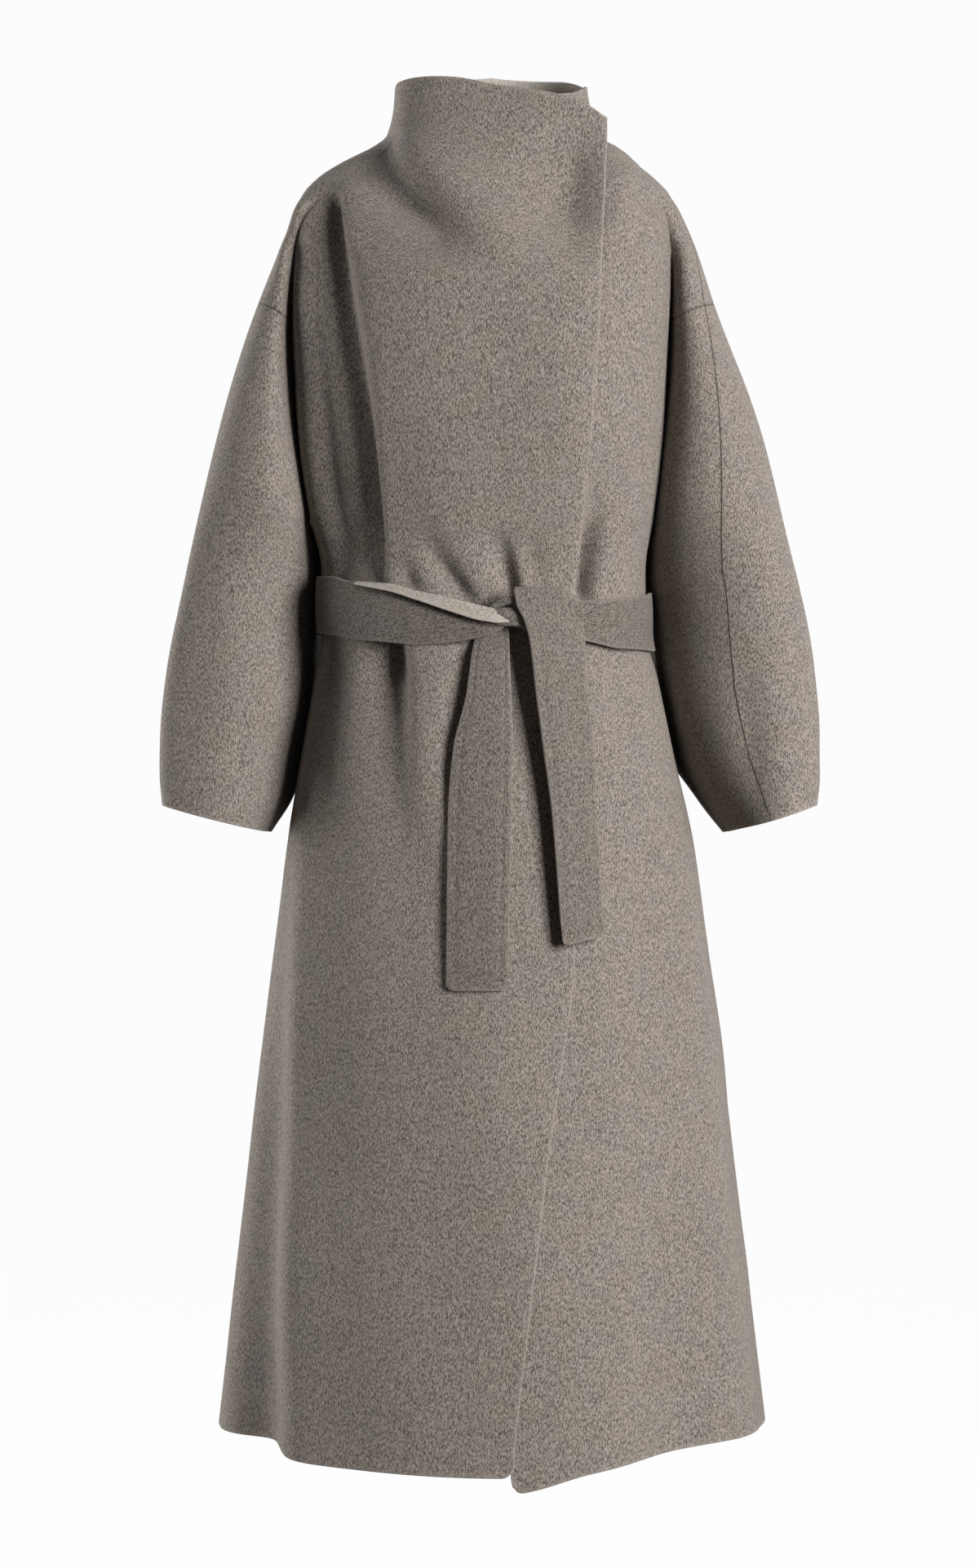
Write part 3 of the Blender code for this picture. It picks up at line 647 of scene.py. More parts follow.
CREASES = (
    # Long fold from the right shoulder to the belt: the chest rolls over the lower cloth of the side
    crease(Face.FRONT,
           (-0.032, -0.1530, 0.0000, 0.012, 0.010),
           (-0.046, -0.1505, -0.0130, 0.013, 0.010),
           (-0.062, -0.1490, -0.0210, 0.016, 0.011),
           (-0.100, -0.1455, -0.0240, 0.024, 0.016),
           (-0.127, -0.1420, -0.0240, 0.030, 0.020),
           (-0.192, -0.1305, -0.0240, 0.044, 0.019),
           (-0.250, -0.1195, -0.0220, 0.054, 0.013),
           (-0.293, -0.1125, -0.0190, 0.060, 0.008),
           (-0.359, -0.1045, -0.0170, 0.060, 0.006),
           (-0.394, -0.1020, -0.0110, 0.040, 0.006),
           (-0.412, -0.1010, 0.0000, 0.020, 0.005),
           overlap=0.008),
    crease(Face.FRONT,
           (-0.060, -0.1430, 0.0000, 0.120, 0.050),
           (-0.192, -0.1290, -0.0090, 0.150, 0.062),
           (-0.330, -0.1100, -0.0110, 0.150, 0.054),
           (-0.410, -0.1010, 0.0000, 0.120, 0.040)),
    # Collar that leans a little forward, and the hollow across the front below it
    crease(Face.FRONT,
           (0.085, 0.0200, 0.0060, 0.150, 0.150),
           (0.050, 0.0200, 0.0030, 0.150, 0.150),
           (-0.005, 0.0200, 0.0000, 0.150, 0.150)),
    crease(Face.FRONT,
           (0.085, 0.1020, 0.0040, 0.130, 0.030),
           (0.050, 0.1020, 0.0060, 0.130, 0.030),
           (0.022, 0.1020, 0.0110, 0.130, 0.030),
           (-0.040, 0.1020, 0.0080, 0.110, 0.030),
           (-0.120, 0.1000, 0.0000, 0.080, 0.030)),
    crease(Face.FRONT,
           (0.012, 0.0200, 0.0000, 0.090, 0.070),
           (-0.030, 0.0200, -0.0040, 0.090, 0.070),
           (-0.058, 0.0200, -0.0060, 0.090, 0.070),
           (-0.120, 0.0200, 0.0000, 0.090, 0.070)),
    # Hollow beside the neck, and the roll of cloth that rises from it
    crease(Face.FRONT,
           (0.016, -0.1080, 0.0000, 0.020, 0.018),
           (0.000, -0.1020, -0.0120, 0.030, 0.016),
           (-0.030, -0.0930, -0.0210, 0.046, 0.021),
           (-0.058, -0.0760, -0.0220, 0.052, 0.025),
           (-0.086, -0.0540, -0.0150, 0.052, 0.028),
           (-0.125, -0.0450, 0.0000, 0.050, 0.030)),
    crease(Face.FRONT,
           (0.020, -0.0720, 0.0000, 0.024, 0.040),
           (-0.010, -0.0620, 0.0040, 0.024, 0.050),
           (-0.050, -0.0360, 0.0080, 0.026, 0.050),
           (-0.080, -0.0140, 0.0060, 0.030, 0.050),
           (-0.130, 0.0100, 0.0000, 0.030, 0.050)),
    # Hollow of the right front below the collar, beside its edge
    crease(Face.FRONT,
           (0.024, 0.0720, 0.0000, 0.030, 0.024),
           (-0.004, 0.0710, -0.0090, 0.040, 0.024),
           (-0.030, 0.0700, -0.0180, 0.046, 0.025),
           (-0.062, 0.0690, -0.0190, 0.046, 0.026),
           (-0.090, 0.0690, -0.0120, 0.044, 0.026),
           (-0.130, 0.0690, 0.0000, 0.040, 0.028)),
    # Ridge along the front edge
    crease(Face.FRONT,
           (-0.060, 0.1010, 0.0000, 0.040, 0.030),
           (-0.165, 0.0962, 0.0040, 0.044, 0.028),
           (-0.290, 0.0870, 0.0020, 0.030, 0.026),
           (-0.370, 0.0810, 0.0015, 0.024, 0.022),
           (-0.410, 0.0780, 0.0000, 0.024, 0.020)),
    # Ridge of the left front beside the lap
    crease(Face.FRONT,
           (-0.020, 0.1230, 0.0000, 0.010, 0.008),
           (-0.050, 0.1180, 0.0030, 0.010, 0.008),
           (-0.100, 0.1120, 0.0020, 0.010, 0.010),
           (-0.140, 0.1090, 0.0000, 0.010, 0.010)),
    # Gathers above the belt; the last one lies in the left front, beside the edge that laps over it
    crease(Face.FRONT,
           (-0.346, -0.0640, 0.0000, 0.014, 0.012),
           (-0.370, -0.0520, -0.0050, 0.017, 0.012),
           (-0.389, -0.0410, -0.0090, 0.017, 0.011),
           (-0.406, -0.0300, -0.0100, 0.014, 0.010),
           (-0.428, -0.0160, 0.0000, 0.010, 0.008)),
    crease(Face.FRONT,
           (-0.350, 0.0030, 0.0000, 0.014, 0.011),
           (-0.371, 0.0085, -0.0060, 0.015, 0.010),
           (-0.391, 0.0140, -0.0120, 0.014, 0.008),
           (-0.411, 0.0180, -0.0130, 0.012, 0.007),
           (-0.430, 0.0210, 0.0000, 0.009, 0.006)),
    crease(Face.FRONT,
           (-0.378, -0.0800, 0.0000, 0.009, 0.008),
           (-0.400, -0.0730, -0.0060, 0.011, 0.008),
           (-0.416, -0.0680, 0.0000, 0.010, 0.008)),
    crease(Face.FRONT,
           (-0.352, 0.0300, 0.0000, 0.012, 0.014),
           (-0.390, 0.0380, -0.0040, 0.012, 0.014),
           (-0.414, 0.0420, 0.0000, 0.010, 0.012)),
    crease(Face.FRONT,
           (-0.285, 0.0940, 0.0000, 0.0060, 0.018),
           (-0.340, 0.0895, -0.0100, 0.0055, 0.015),
           (-0.376, 0.0860, -0.0215, 0.0045, 0.010),
           (-0.404, 0.0832, -0.0210, 0.0045, 0.007),
           (-0.428, 0.0812, 0.0000, 0.0045, 0.006)),
    # Gathers below the belt
    crease(Face.FRONT,
           (-0.434, -0.0880, 0.0000, 0.010, 0.006),
           (-0.450, -0.0870, -0.0190, 0.016, 0.007),
           (-0.472, -0.0850, -0.0190, 0.024, 0.008),
           (-0.492, -0.0840, -0.0140, 0.032, 0.010),
           (-0.530, -0.0830, -0.0090, 0.040, 0.012),
           (-0.580, -0.0820, -0.0060, 0.044, 0.014),
           (-0.680, -0.0800, 0.0000, 0.044, 0.020)),
    crease(Face.FRONT,
           (-0.440, -0.0640, 0.0000, 0.010, 0.030),
           (-0.470, -0.0630, 0.0060, 0.011, 0.036),
           (-0.540, -0.0620, 0.0070, 0.014, 0.040),
           (-0.640, -0.0640, 0.0000, 0.018, 0.040)),
    crease(Face.FRONT,
           (-0.446, -0.0180, 0.0000, 0.016, 0.012),
           (-0.500, -0.0240, -0.0050, 0.018, 0.012),
           (-0.550, -0.0330, -0.0070, 0.020, 0.014),
           (-0.620, -0.0390, 0.0000, 0.018, 0.016)),
    crease(Face.FRONT,
           (-0.440, -0.1420, 0.0000, 0.010, 0.010),
           (-0.480, -0.1420, -0.0050, 0.012, 0.010),
           (-0.540, -0.1470, -0.0050, 0.014, 0.012),
           (-0.640, -0.1560, 0.0000, 0.018, 0.016)),
    crease(Face.FRONT,
           (-0.446, 0.1120, 0.0000, 0.009, 0.009),
           (-0.478, 0.1140, -0.0050, 0.012, 0.011),
           (-0.580, 0.1240, 0.0000, 0.018, 0.018)),
    # Sleeves
    crease(Face.FRONT,
           (-0.230, -0.2280, 0.0000, 0.014, 0.014),
           (-0.360, -0.2560, -0.0022, 0.016, 0.018),
           (-0.480, -0.2700, -0.0026, 0.016, 0.020),
           (-0.600, -0.2740, 0.0000, 0.014, 0.016),
           on_sleeve=True),
    crease(Face.FRONT,
           (-0.440, 0.2250, 0.0000, 0.012, 0.012),
           (-0.540, 0.2330, -0.0030, 0.014, 0.012),
           (-0.610, 0.2400, 0.0000, 0.012, 0.012),
           on_sleeve=True),
    # Back: long folds from the shoulder blades, and gathers above and below the belt
    crease(Face.BACK,
           (-0.090, -0.1300, 0.0000, 0.012, 0.016),
           (-0.220, -0.1080, -0.0070, 0.012, 0.022),
           (-0.340, -0.0900, -0.0080, 0.010, 0.020),
           (-0.400, -0.0840, 0.0000, 0.010, 0.014)),
    crease(Face.BACK,
           (-0.110, 0.1180, 0.0000, 0.016, 0.012),
           (-0.240, 0.0960, -0.0080, 0.022, 0.011),
           (-0.350, 0.0760, -0.0070, 0.018, 0.010),
           (-0.400, 0.0710, 0.0000, 0.014, 0.010)),
    crease(Face.BACK,
           (-0.300, -0.0260, 0.0000, 0.010, 0.010),
           (-0.365, -0.0180, -0.0050, 0.010, 0.008),
           (-0.402, -0.0140, 0.0000, 0.008, 0.008)),
    crease(Face.BACK,
           (-0.330, 0.0280, 0.0000, 0.008, 0.010),
           (-0.375, 0.0240, -0.0040, 0.008, 0.009),
           (-0.402, 0.0220, 0.0000, 0.008, 0.008)),
    crease(Face.BACK,
           (-0.438, -0.0620, 0.0000, 0.008, 0.008),
           (-0.475, -0.0660, -0.0060, 0.010, 0.012),
           (-0.640, -0.0820, 0.0000, 0.018, 0.020)),
    crease(Face.BACK,
           (-0.438, 0.0060, 0.0000, 0.008, 0.008),
           (-0.470, 0.0080, -0.0050, 0.010, 0.010),
           (-0.580, 0.0120, 0.0000, 0.016, 0.018)),
    crease(Face.BACK,
           (-0.438, 0.0740, 0.0000, 0.008, 0.008),
           (-0.480, 0.0800, -0.0060, 0.012, 0.010),
           (-0.690, 0.1000, 0.0000, 0.020, 0.018)),
)


@dataclass(frozen=True)
class Drape:
    """The creases of the coat, with the slow waves that keep the cloth between them from lying quite flat.

    Attributes:
        facing_start: share of a face's normal that points forward (or back) where its creases begin.
        facing_full: share where they have their full depth.
        narrowest: half width of the body's creases where the body itself is narrower.
        side_fade: how far inside the body's side its creases begin to end.
        wave_height: height of the slow waves.
        wave_numbers: waves in a metre along x, y and z, a row for each wave.
    """

    facing_start: float = 0.10
    facing_full: float = 0.50
    narrowest: float = 0.130
    side_fade: float = 0.016
    wave_height: float = 0.0007
    wave_numbers: tuple[tuple[float, float, float], ...] = (
        (5.1, 3.7, 2.3),
        (-3.4, 4.6, 3.9),
        (8.3, -6.1, 1.4),
        (2.7, 7.7, -5.2),
    )

    def on_body(self, x: Array, height: Array) -> Array:
        """Give the share of a body crease: 1, and down to 0 at the body's side."""
        half = np.where(x < 0.0, BODY.at("right_half", height), BODY.at("left_half", height))
        return ease((np.maximum(half, self.narrowest) - np.abs(x)) / self.side_fade)

    def moved(self, points: Array, normals: Array) -> Array:
        """Move points out by all creases of the side they face and by sine waves, and brows sideways.

        Args:
            points: points by row and column.
            normals: the cloth's normals there.

        Returns:
            The moved points.
        """
        forward = {Face.FRONT: -normals[..., 1], Face.BACK: normals[..., 1]}
        span = self.facing_full - self.facing_start
        facing = {face: ease((share - self.facing_start) / span) for face, share in forward.items()}
        x, height = points[..., 0], points[..., 2]
        body = self.on_body(x, height)
        share = {True: 1.0 - body, False: body}
        creases = sum(facing[c.face] * share[c.on_sleeve] * c.lift(x, height) for c in CREASES)
        slides = sum(facing[c.face] * body * c.slide(x, height) for c in CREASES if c.overlap > 0.0)
        phases = 2.0 * np.pi * points @ np.array(self.wave_numbers).T + np.arange(len(self.wave_numbers))
        lift = creases + self.wave_height * np.sin(phases).sum(-1)
        sideways = np.stack([-normals[..., 1], normals[..., 0], np.zeros_like(x)], axis=-1)
        return points + lift[..., None] * normals - slides[..., None] * sideways


def step_sums(points: Array, used: Array) -> Array:
    """Give the sum of the steps from row to row above and below each point, between points of the cloth.

    Args:
        points: points by row and column.
        used: which points belong to the cloth.

    Returns:
        A vector for each point.
    """
    steps = np.diff(points, axis=0) * (used[1:] & used[:-1])[..., None]
    return np.pad(steps, ((0, 1), (0, 0), (0, 0))) + np.pad(steps, ((1, 0), (0, 0), (0, 0)))


def grid_normals(points: Array, used: Array) -> Array:
    """Give the outer normals of a grid: the cross product of its steps down and across.

    Args:
        points: points by row and column.
        used: which points belong to the cloth.

    Returns:
        Unit vectors.
    """
    down = step_sums(points, used)
    across = step_sums(points.swapaxes(0, 1), used.T).swapaxes(0, 1)
    normals = np.cross(down, across)
    return normals / np.maximum(np.linalg.norm(normals, axis=-1, keepdims=True), SHORTEST_NORMAL)


def all_quads(points: Array) -> Array:
    """Keep every quad of a grid of points."""
    return np.ones((points.shape[0] - 1, points.shape[1] - 1), dtype=bool)


@dataclass
class ClothGrid:
    """A stretch of cloth as a grid of points on its outer face.

    Attributes:
        points: points from the top row down, with columns in the order that makes the faces look out.
        keep: which quads of the grid are cloth.
        free: borders that are edges of the cloth; the others are seams.
        wall: thickness of the cloth.
        slot: material slot of its outer face.
        edge_radius: radius of the rounding along free edges.
        seam_radius: radius of the rounding along seams.
        edge_highlight_reach: how far from an edge its painted highlight reaches.
        seam_shade: how far from a seam its painted shade reaches.
    """

    points: Array
    keep: Array
    free: frozenset[Border]
    wall: float
    slot: ClothSlot = ClothSlot.OUTER
    edge_radius: float = 0.0011
    seam_radius: float = 0.0007
    edge_highlight_reach: float = 0.0020
    seam_shade: float = 0.0011

    def used(self) -> Array:
        """Give which points belong to a kept quad."""
        padded = np.pad(self.keep, 1)
        return padded[:-1, :-1] | padded[1:, :-1] | padded[:-1, 1:] | padded[1:, 1:]

    def border_distances(self) -> tuple[Array, Array]:
        """Measure along rows and columns how far each point lies from the nearest edge and seam.

        Returns:
            Distance to the nearest free edge, and to the nearest seam.
        """
        used = self.used()
        rows, columns = used.shape
        steps = np.linalg.norm(np.diff(self.points, axis=1), axis=-1)
        across = np.pad(np.cumsum(steps, axis=1), ((0, 0), (1, 0)))
        steps = np.linalg.norm(np.diff(self.points, axis=0), axis=-1)
        down = np.pad(np.cumsum(steps, axis=0), ((1, 0), (0, 0)))
        first = used.argmax(axis=1)[:, None]
        last = columns - 1 - used[:, ::-1].argmax(axis=1)[:, None]
        top = used.argmax(axis=0)[None, :]
        bottom = rows - 1 - used[::-1].argmax(axis=0)[None, :]
        distances = {
            Border.FIRST: across - np.take_along_axis(across, first, axis=1),
            Border.LAST: np.take_along_axis(across, last, axis=1) - across,
            Border.TOP: down - np.take_along_axis(down, top, axis=0),
            Border.BOTTOM: np.take_along_axis(down, bottom, axis=0) - down,
        }
        stepped = {
            Border.FIRST: first > first.min(),
            Border.LAST: last < last.max(),
            Border.TOP: top > top.min(),
            Border.BOTTOM: bottom < bottom.max(),
        }
        edge = seam = np.full(used.shape, np.inf)
        for border, distance in distances.items():
            is_free = (border in self.free) & ~stepped[border]
            edge = np.minimum(edge, np.where(is_free, distance, np.inf))
            seam = np.minimum(seam, np.where(is_free, np.inf, distance))
        return np.maximum(edge, 0.0), np.maximum(seam, 0.0)

    def shell(self) -> dict[str, Array]:
        """Make the grid a closed wall: both faces, drawn together in a round along every border, and the rim.

        Returns:
            Vertices, quads, material slots, and how far each vertex takes part in an edge's painted highlight
            or a seam's painted shade.
        """
        edge, seam = self.border_distances()
        normals = grid_normals(self.points, self.used())
        edge_drop = quarter_round(edge, self.edge_radius)
        seam_drop = quarter_round(seam, self.seam_radius)
        drop = np.maximum(edge_drop, seam_drop)[..., None]
        outer = self.points - drop * normals
        inner = self.points - (self.wall - drop) * normals
        rows, columns = edge.shape
        index = np.arange(rows * columns).reshape(rows, columns)
        quads = np.stack([index[:-1, :-1], index[1:, :-1], index[1:, 1:], index[:-1, 1:]], axis=-1)[self.keep]
        used, quads = np.unique(quads, return_inverse=True)
        quads = quads.reshape(-1, 4)
        count = len(used)
        starts = quads.ravel()
        ends = np.roll(quads, -1, axis=1).ravel()
        rim = ~np.isin(starts * count + ends, ends * count + starts)
        rim_quads = np.stack([ends[rim], starts[rim], starts[rim] + count, ends[rim] + count], axis=-1)
        faces = [self.slot, ClothSlot.REVERSE, self.slot]
        slots = np.repeat(faces, [len(quads), len(quads), len(rim_quads)])
        # Painted highlight: edges go lighter, where their fibres catch the light
        painted_highlight = np.exp(-(edge.ravel()[used] / self.edge_highlight_reach) ** 2)
        # Painted shade: the colour darkens beside seams, where the groove between panels lies in shade
        shade = np.exp(-(seam.ravel()[used] / self.seam_shade) ** 2)
        return {
            "vertices": np.concatenate([outer.reshape(-1, 3)[used], inner.reshape(-1, 3)[used]]),
            "quads": np.concatenate([quads, quads[:, ::-1] + count, rim_quads]),
            "slots": slots,
            "edge": np.tile(painted_highlight, 2),
            "seam": np.tile(shade, 2),
        }


def make_piece(name: str, shells: Sequence[dict[str, Array]], materials: Sequence[bpy.types.Material],
               node: str) -> bpy.types.Object:
    """Make one object of closed shells, which takes the place of a solid.

    Args:
        name: the object's name.
        shells: its shells, as arrays.
        materials: outer face and reverse of the cloth.
        node: the solid that it stands for.

    Returns:
        The finished object.
    """
    offsets = np.cumsum([0] + [len(shell["vertices"]) for shell in shells])
    quads = np.concatenate([shell["quads"] + offset for shell, offset in zip(shells, offsets)])
    joined = {key: np.concatenate([shell[key] for shell in shells]) for key in shells[0] if key != "quads"}
    mesh = bpy.data.meshes.new(name)
    mesh.from_pydata(joined["vertices"].tolist(), [], quads.tolist())
    # Attributes of the painted highlight along edges and the painted shade beside seams
    for key in ("edge", "seam"):
        attribute = mesh.attributes.new(key, "FLOAT", "POINT")
        attribute.data.foreach_set("value", joined[key].astype(np.float32))
    for material in materials:
        mesh.materials.append(material)
    mesh.polygons.foreach_set("material_index", joined["slots"].astype(np.int32))
    mesh.shade_smooth()
    piece = bpy.data.objects.new(name, mesh)
    bpy.context.scene.collection.objects.link(piece)
    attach(piece, "root")
    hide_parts(node)
    log.info("%s: %d quads", name, len(quads))
    return piece


class Shade:
    """A value in a material's node tree that takes part in Python arithmetic."""

    def __init__(self, tree: "ShaderTree", socket: bpy.types.NodeSocket) -> None:
        """Keep the output socket that carries the value."""
        self.tree = tree
        self.socket = socket

    def __add__(self, other: "Shade | float") -> "Shade":
        """Add."""
        return self.tree.maths("ADD", self, other)

    def __sub__(self, other: "Shade | float") -> "Shade":
        """Take other away."""
        return self.tree.maths("SUBTRACT", self, other)

    def __rsub__(self, other: float) -> "Shade":
        """Take this value away from a number."""
        return self.tree.maths("SUBTRACT", other, self)

    def __mul__(self, other: "Shade | float") -> "Shade":
        """Multiply."""
        return self.tree.maths("MULTIPLY", self, other)

    __radd__ = __add__
    __rmul__ = __mul__


# Numbers of a Mix node's sockets for colours: two inputs and the output
FIRST_COLOUR = 6
SECOND_COLOUR = 7
MIXED_COLOUR = 2


class ShaderTree:
    """The node tree of one material."""

    def __init__(self, name: str) -> None:
        """Make a material with a Principled BSDF.

        Args:
            name: the material's name.
        """
        self.material = bpy.data.materials.new(name)
        self.material.use_nodes = True
        self.nodes = self.material.node_tree.nodes
        self.principled = self.nodes["Principled BSDF"]

    def feed(self, node: bpy.types.Node, sockets: dict[str | int, Any]) -> None:
        """Link or set a node's input sockets.

        Args:
            node: the node.
            sockets: for each socket's name or number, a shade to link or a constant to set.
        """
        for key, value in sockets.items():
            if isinstance(value, Shade):
                self.material.node_tree.links.new(value.socket, node.inputs[key])
            else:
                node.inputs[key].default_value = value

    def node(self, kind: str, settings: dict[str, Any], sockets: dict[str | int, Any],
             output: str | int = 0) -> Shade:
        """Add a node of any type.

        Args:
            kind: the node's type.
            settings: its properties.
            sockets: its inputs, as for feed.
            output: name or number of the output that is wanted.

        Returns:
            That output.
        """
        node = self.nodes.new(kind)
        for key, value in settings.items():
            setattr(node, key, value)
        self.feed(node, sockets)
        return Shade(self, node.outputs[output])

    def maths(self, operation: str, a: Shade | float, b: Shade | float) -> Shade:
        """Work out two numbers."""
        return self.node("ShaderNodeMath", {"operation": operation}, {0: a, 1: b})

    def blend(self, a: Shade | Colour, b: Shade | Colour, share: Shade | float, how: str = "MIX") -> Shade:
        """Mix two colours by a share.

        Args:
            a: the first colour.
            b: the second colour.
            share: how far to go from the first to the second.
            how: how the second is laid on the first.

        Returns:
            The mixed colour.
        """
        a, b = (value if isinstance(value, Shade) else (*value, 1.0) for value in (a, b))
        settings = {"data_type": "RGBA", "blend_type": how}
        sockets = {"Factor": share, FIRST_COLOUR: a, SECOND_COLOUR: b}
        return self.node("ShaderNodeMix", settings, sockets, MIXED_COLOUR)

    def noise(self, place: Shade, detail: float, roughness: float = 0.5) -> Shade:
        """Give a cloudy value around one half at a place."""
        sockets = {"Vector": place, "Scale": 1.0, "Detail": detail, "Roughness": roughness}
        return self.node("ShaderNodeTexNoise", {}, sockets, "Fac")

    def stretch(self, place: Shade, sizes: tuple[float, float, float]) -> Shade:
        """Scale a place so that one step of it is as long as these sizes."""
        return self.node("ShaderNodeVectorMath", {"operation": "DIVIDE"}, {0: place, 1: sizes})

    def sharpen(self, value: Shade, low: float, high: float) -> Shade:
        """Spread the range from low to high over 0 to 1, smoothly."""
        settings = {"interpolation_type": "SMOOTHSTEP"}
        return self.node("ShaderNodeMapRange", settings, {"Value": value, "From Min": low, "From Max": high})


@dataclass(frozen=True)
class WoolFinish:
    """Brushed double-faced wool: light and dark fibres in short flecks, clouded warm and cool.

    Attributes:
        name: name of the material.
        dark: colour of the darkest fibres.
        light: colour of the lightest fibres.
        nap: how long flecks and fibres are along each axis.
        warm: tint of the warm clouds.
        cool: tint of the cool clouds.
        cloud_size: size of the clouds.
        cloud_detail: octaves of their noise.
        cloud_range: range of that noise from warm to cool.
        fleck_detail: octaves of the flecks' noise.
        fleck_roughness: how strong its finer octaves are.
        fleck_range: range of that noise from dark to light.
        fibre_detail: octaves of the fibres' noise.
        fibre_share: how much the fibres fray the flecks.
        noise_middle: value that the noise lies around.
        painted_edge_highlight: how far edges go to the light colour, a painted highlight where their fibres
            catch the light.
        painted_seam_shade: how far seams go to black, painted shade in the groove between panels.
        roughness: roughness of the surface.
        specular: strength of its plain reflection.
        sheen: strength of the fibres' sheen.
        sheen_roughness: roughness of the sheen.
        sheen_tint: colour of the sheen.
        bump_strength: strength of the flecks' bump.
        bump_depth: depth of it.
    """

    name: str
    dark: Colour
    light: Colour
    nap: Nap = Nap.UPRIGHT
    warm: Colour = (1.02, 1.00, 0.97)
    cool: Colour = (0.98, 0.98, 1.00)
    cloud_size: float = 0.030
    cloud_detail: float = 2.0
    cloud_range: tuple[float, float] = (0.3, 0.7)
    fleck_detail: float = 2.0
    fleck_roughness: float = 0.6
    fleck_range: tuple[float, float] = (0.345, 0.655)
    fibre_detail: float = 1.0
    fibre_share: float = 0.45
    noise_middle: float = 0.5
    painted_edge_highlight: float = 0.50
    painted_seam_shade: float = 0.45
    roughness: float = 0.92
    specular: float = 0.2
    sheen: float = 0.15
    sheen_roughness: float = 0.55
    sheen_tint: Colour = (0.95, 0.93, 0.90)
    bump_strength: float = 0.30
    bump_depth: float = 0.0006

    def material(self) -> bpy.types.Material:
        """Build the material.

        Flecks are noise drawn out along the nap, frayed by the finer noise of the fibres. They mix the dark
        and the light colour and raise the bump. Slow noise tints them, and the piece's own attributes paint
        a highlight along its edges and paint shade into its seams.

        Returns:
            The material.
        """
        tree = ShaderTree(self.name)
        place = tree.node("ShaderNodeTexCoord", {}, {}, "Object")
        fleck_size, fibre_size = self.nap.value
        fleck = tree.noise(tree.stretch(place, fleck_size), self.fleck_detail, self.fleck_roughness)
        fibre = tree.noise(tree.stretch(place, fibre_size), self.fibre_detail)
        fleck = fleck + (fibre - self.noise_middle) * self.fibre_share
        cloud = tree.noise(tree.stretch(place, (self.cloud_size,) * 3), self.cloud_detail)
        edge = tree.node("ShaderNodeAttribute", {"attribute_name": "edge"}, {}, "Fac")
        seam = tree.node("ShaderNodeAttribute", {"attribute_name": "seam"}, {}, "Fac")
        colour = tree.blend(self.dark, self.light, tree.sharpen(fleck, *self.fleck_range))
        tint = tree.blend(self.warm, self.cool, tree.sharpen(cloud, *self.cloud_range))
        colour = tree.blend(colour, tint, 1.0, "MULTIPLY")
        # Painted highlight along free edges
        colour = tree.blend(colour, self.light, edge * self.painted_edge_highlight)
        # Painted shade in the seams' grooves
        colour = tree.blend(colour, BLACK, seam * self.painted_seam_shade)
        bump = {"Height": fleck, "Strength": self.bump_strength, "Distance": self.bump_depth}
        tree.feed(tree.principled, {
            "Base Color": colour,
            "Normal": tree.node("ShaderNodeBump", {}, bump),
            "Roughness": self.roughness,
            "Specular IOR Level": self.specular,
            "Sheen Weight": self.sheen,
            "Sheen Roughness": self.sheen_roughness,
            "Sheen Tint": (*self.sheen_tint, 1.0),
        })
        return tree.material


@dataclass(frozen=True)
class Wardrobe:
    """The finishes of the coat and its belt.

    Attributes:
        coat: the coat's outer face.
        reverse: its inner face.
        belt: the belt's ends and knot, in the coat's wool made darker as painted shade.
        shaded_belt_round: the belt round the waist, made darker still as painted shade, with its nap running
            round the waist.
        shaded_belt_round: the belt round the waist.
        belt_reverse: the belt's lighter reverse.
    """

    coat: WoolFinish = WoolFinish("coat_wool", (0.078, 0.066, 0.056), (0.352, 0.309, 0.270))
    reverse: WoolFinish = WoolFinish("coat_wool_reverse", (0.360, 0.320, 0.284), (0.600, 0.546, 0.494))
    # Painted shade: the belt is the coat's own wool, its colours darkened to stand for the shade on the belt
    belt: WoolFinish = WoolFinish("belt_wool", (0.058, 0.049, 0.042), (0.264, 0.231, 0.201))
    shaded_belt_round: WoolFinish = WoolFinish("belt_wool_round", (0.054, 0.046, 0.039), (0.238, 0.208, 0.181),
                                        Nap.ROUND_THE_WAIST)
    belt_reverse: WoolFinish = WoolFinish("belt_wool_reverse", (0.280, 0.246, 0.214), (0.520, 0.470, 0.420),
                                          Nap.ROUND_THE_WAIST)


# Places of the first points beside a border, close enough together for its rounding
FINE_STEPS = np.array([0.0, 0.0003, 0.0008, 0.0014, 0.0025, 0.0042])


def spread(length: float, step: float, fine_start: bool = True, fine_end: bool = True) -> Array:
    """Lay places along a length: evenly, and closer together at an end that has a border.

    Args:
        length: the length.
        step: how far the even places lie apart.
        fine_start: whether the start has a border.
        fine_end: whether the end has one.

    Returns:
        Shares of the length, from 0 to 1.
    """
    start = FINE_STEPS if fine_start else np.zeros(1)
    end = length - FINE_STEPS[::-1] if fine_end else np.array([length])
    count = max(2, int(round((end[0] - start[-1]) / step)) + 1)
    return np.concatenate([start[:-1], np.linspace(start[-1], end[0], count), end[1:]]) / length


def levels_between(upper: float, lower: float, step: float, fine_start: bool = True) -> Array:
    """Lay levels from an upper one down to a lower one, which has a border."""
    return mix(upper, lower, spread(upper - lower, step, fine_start))


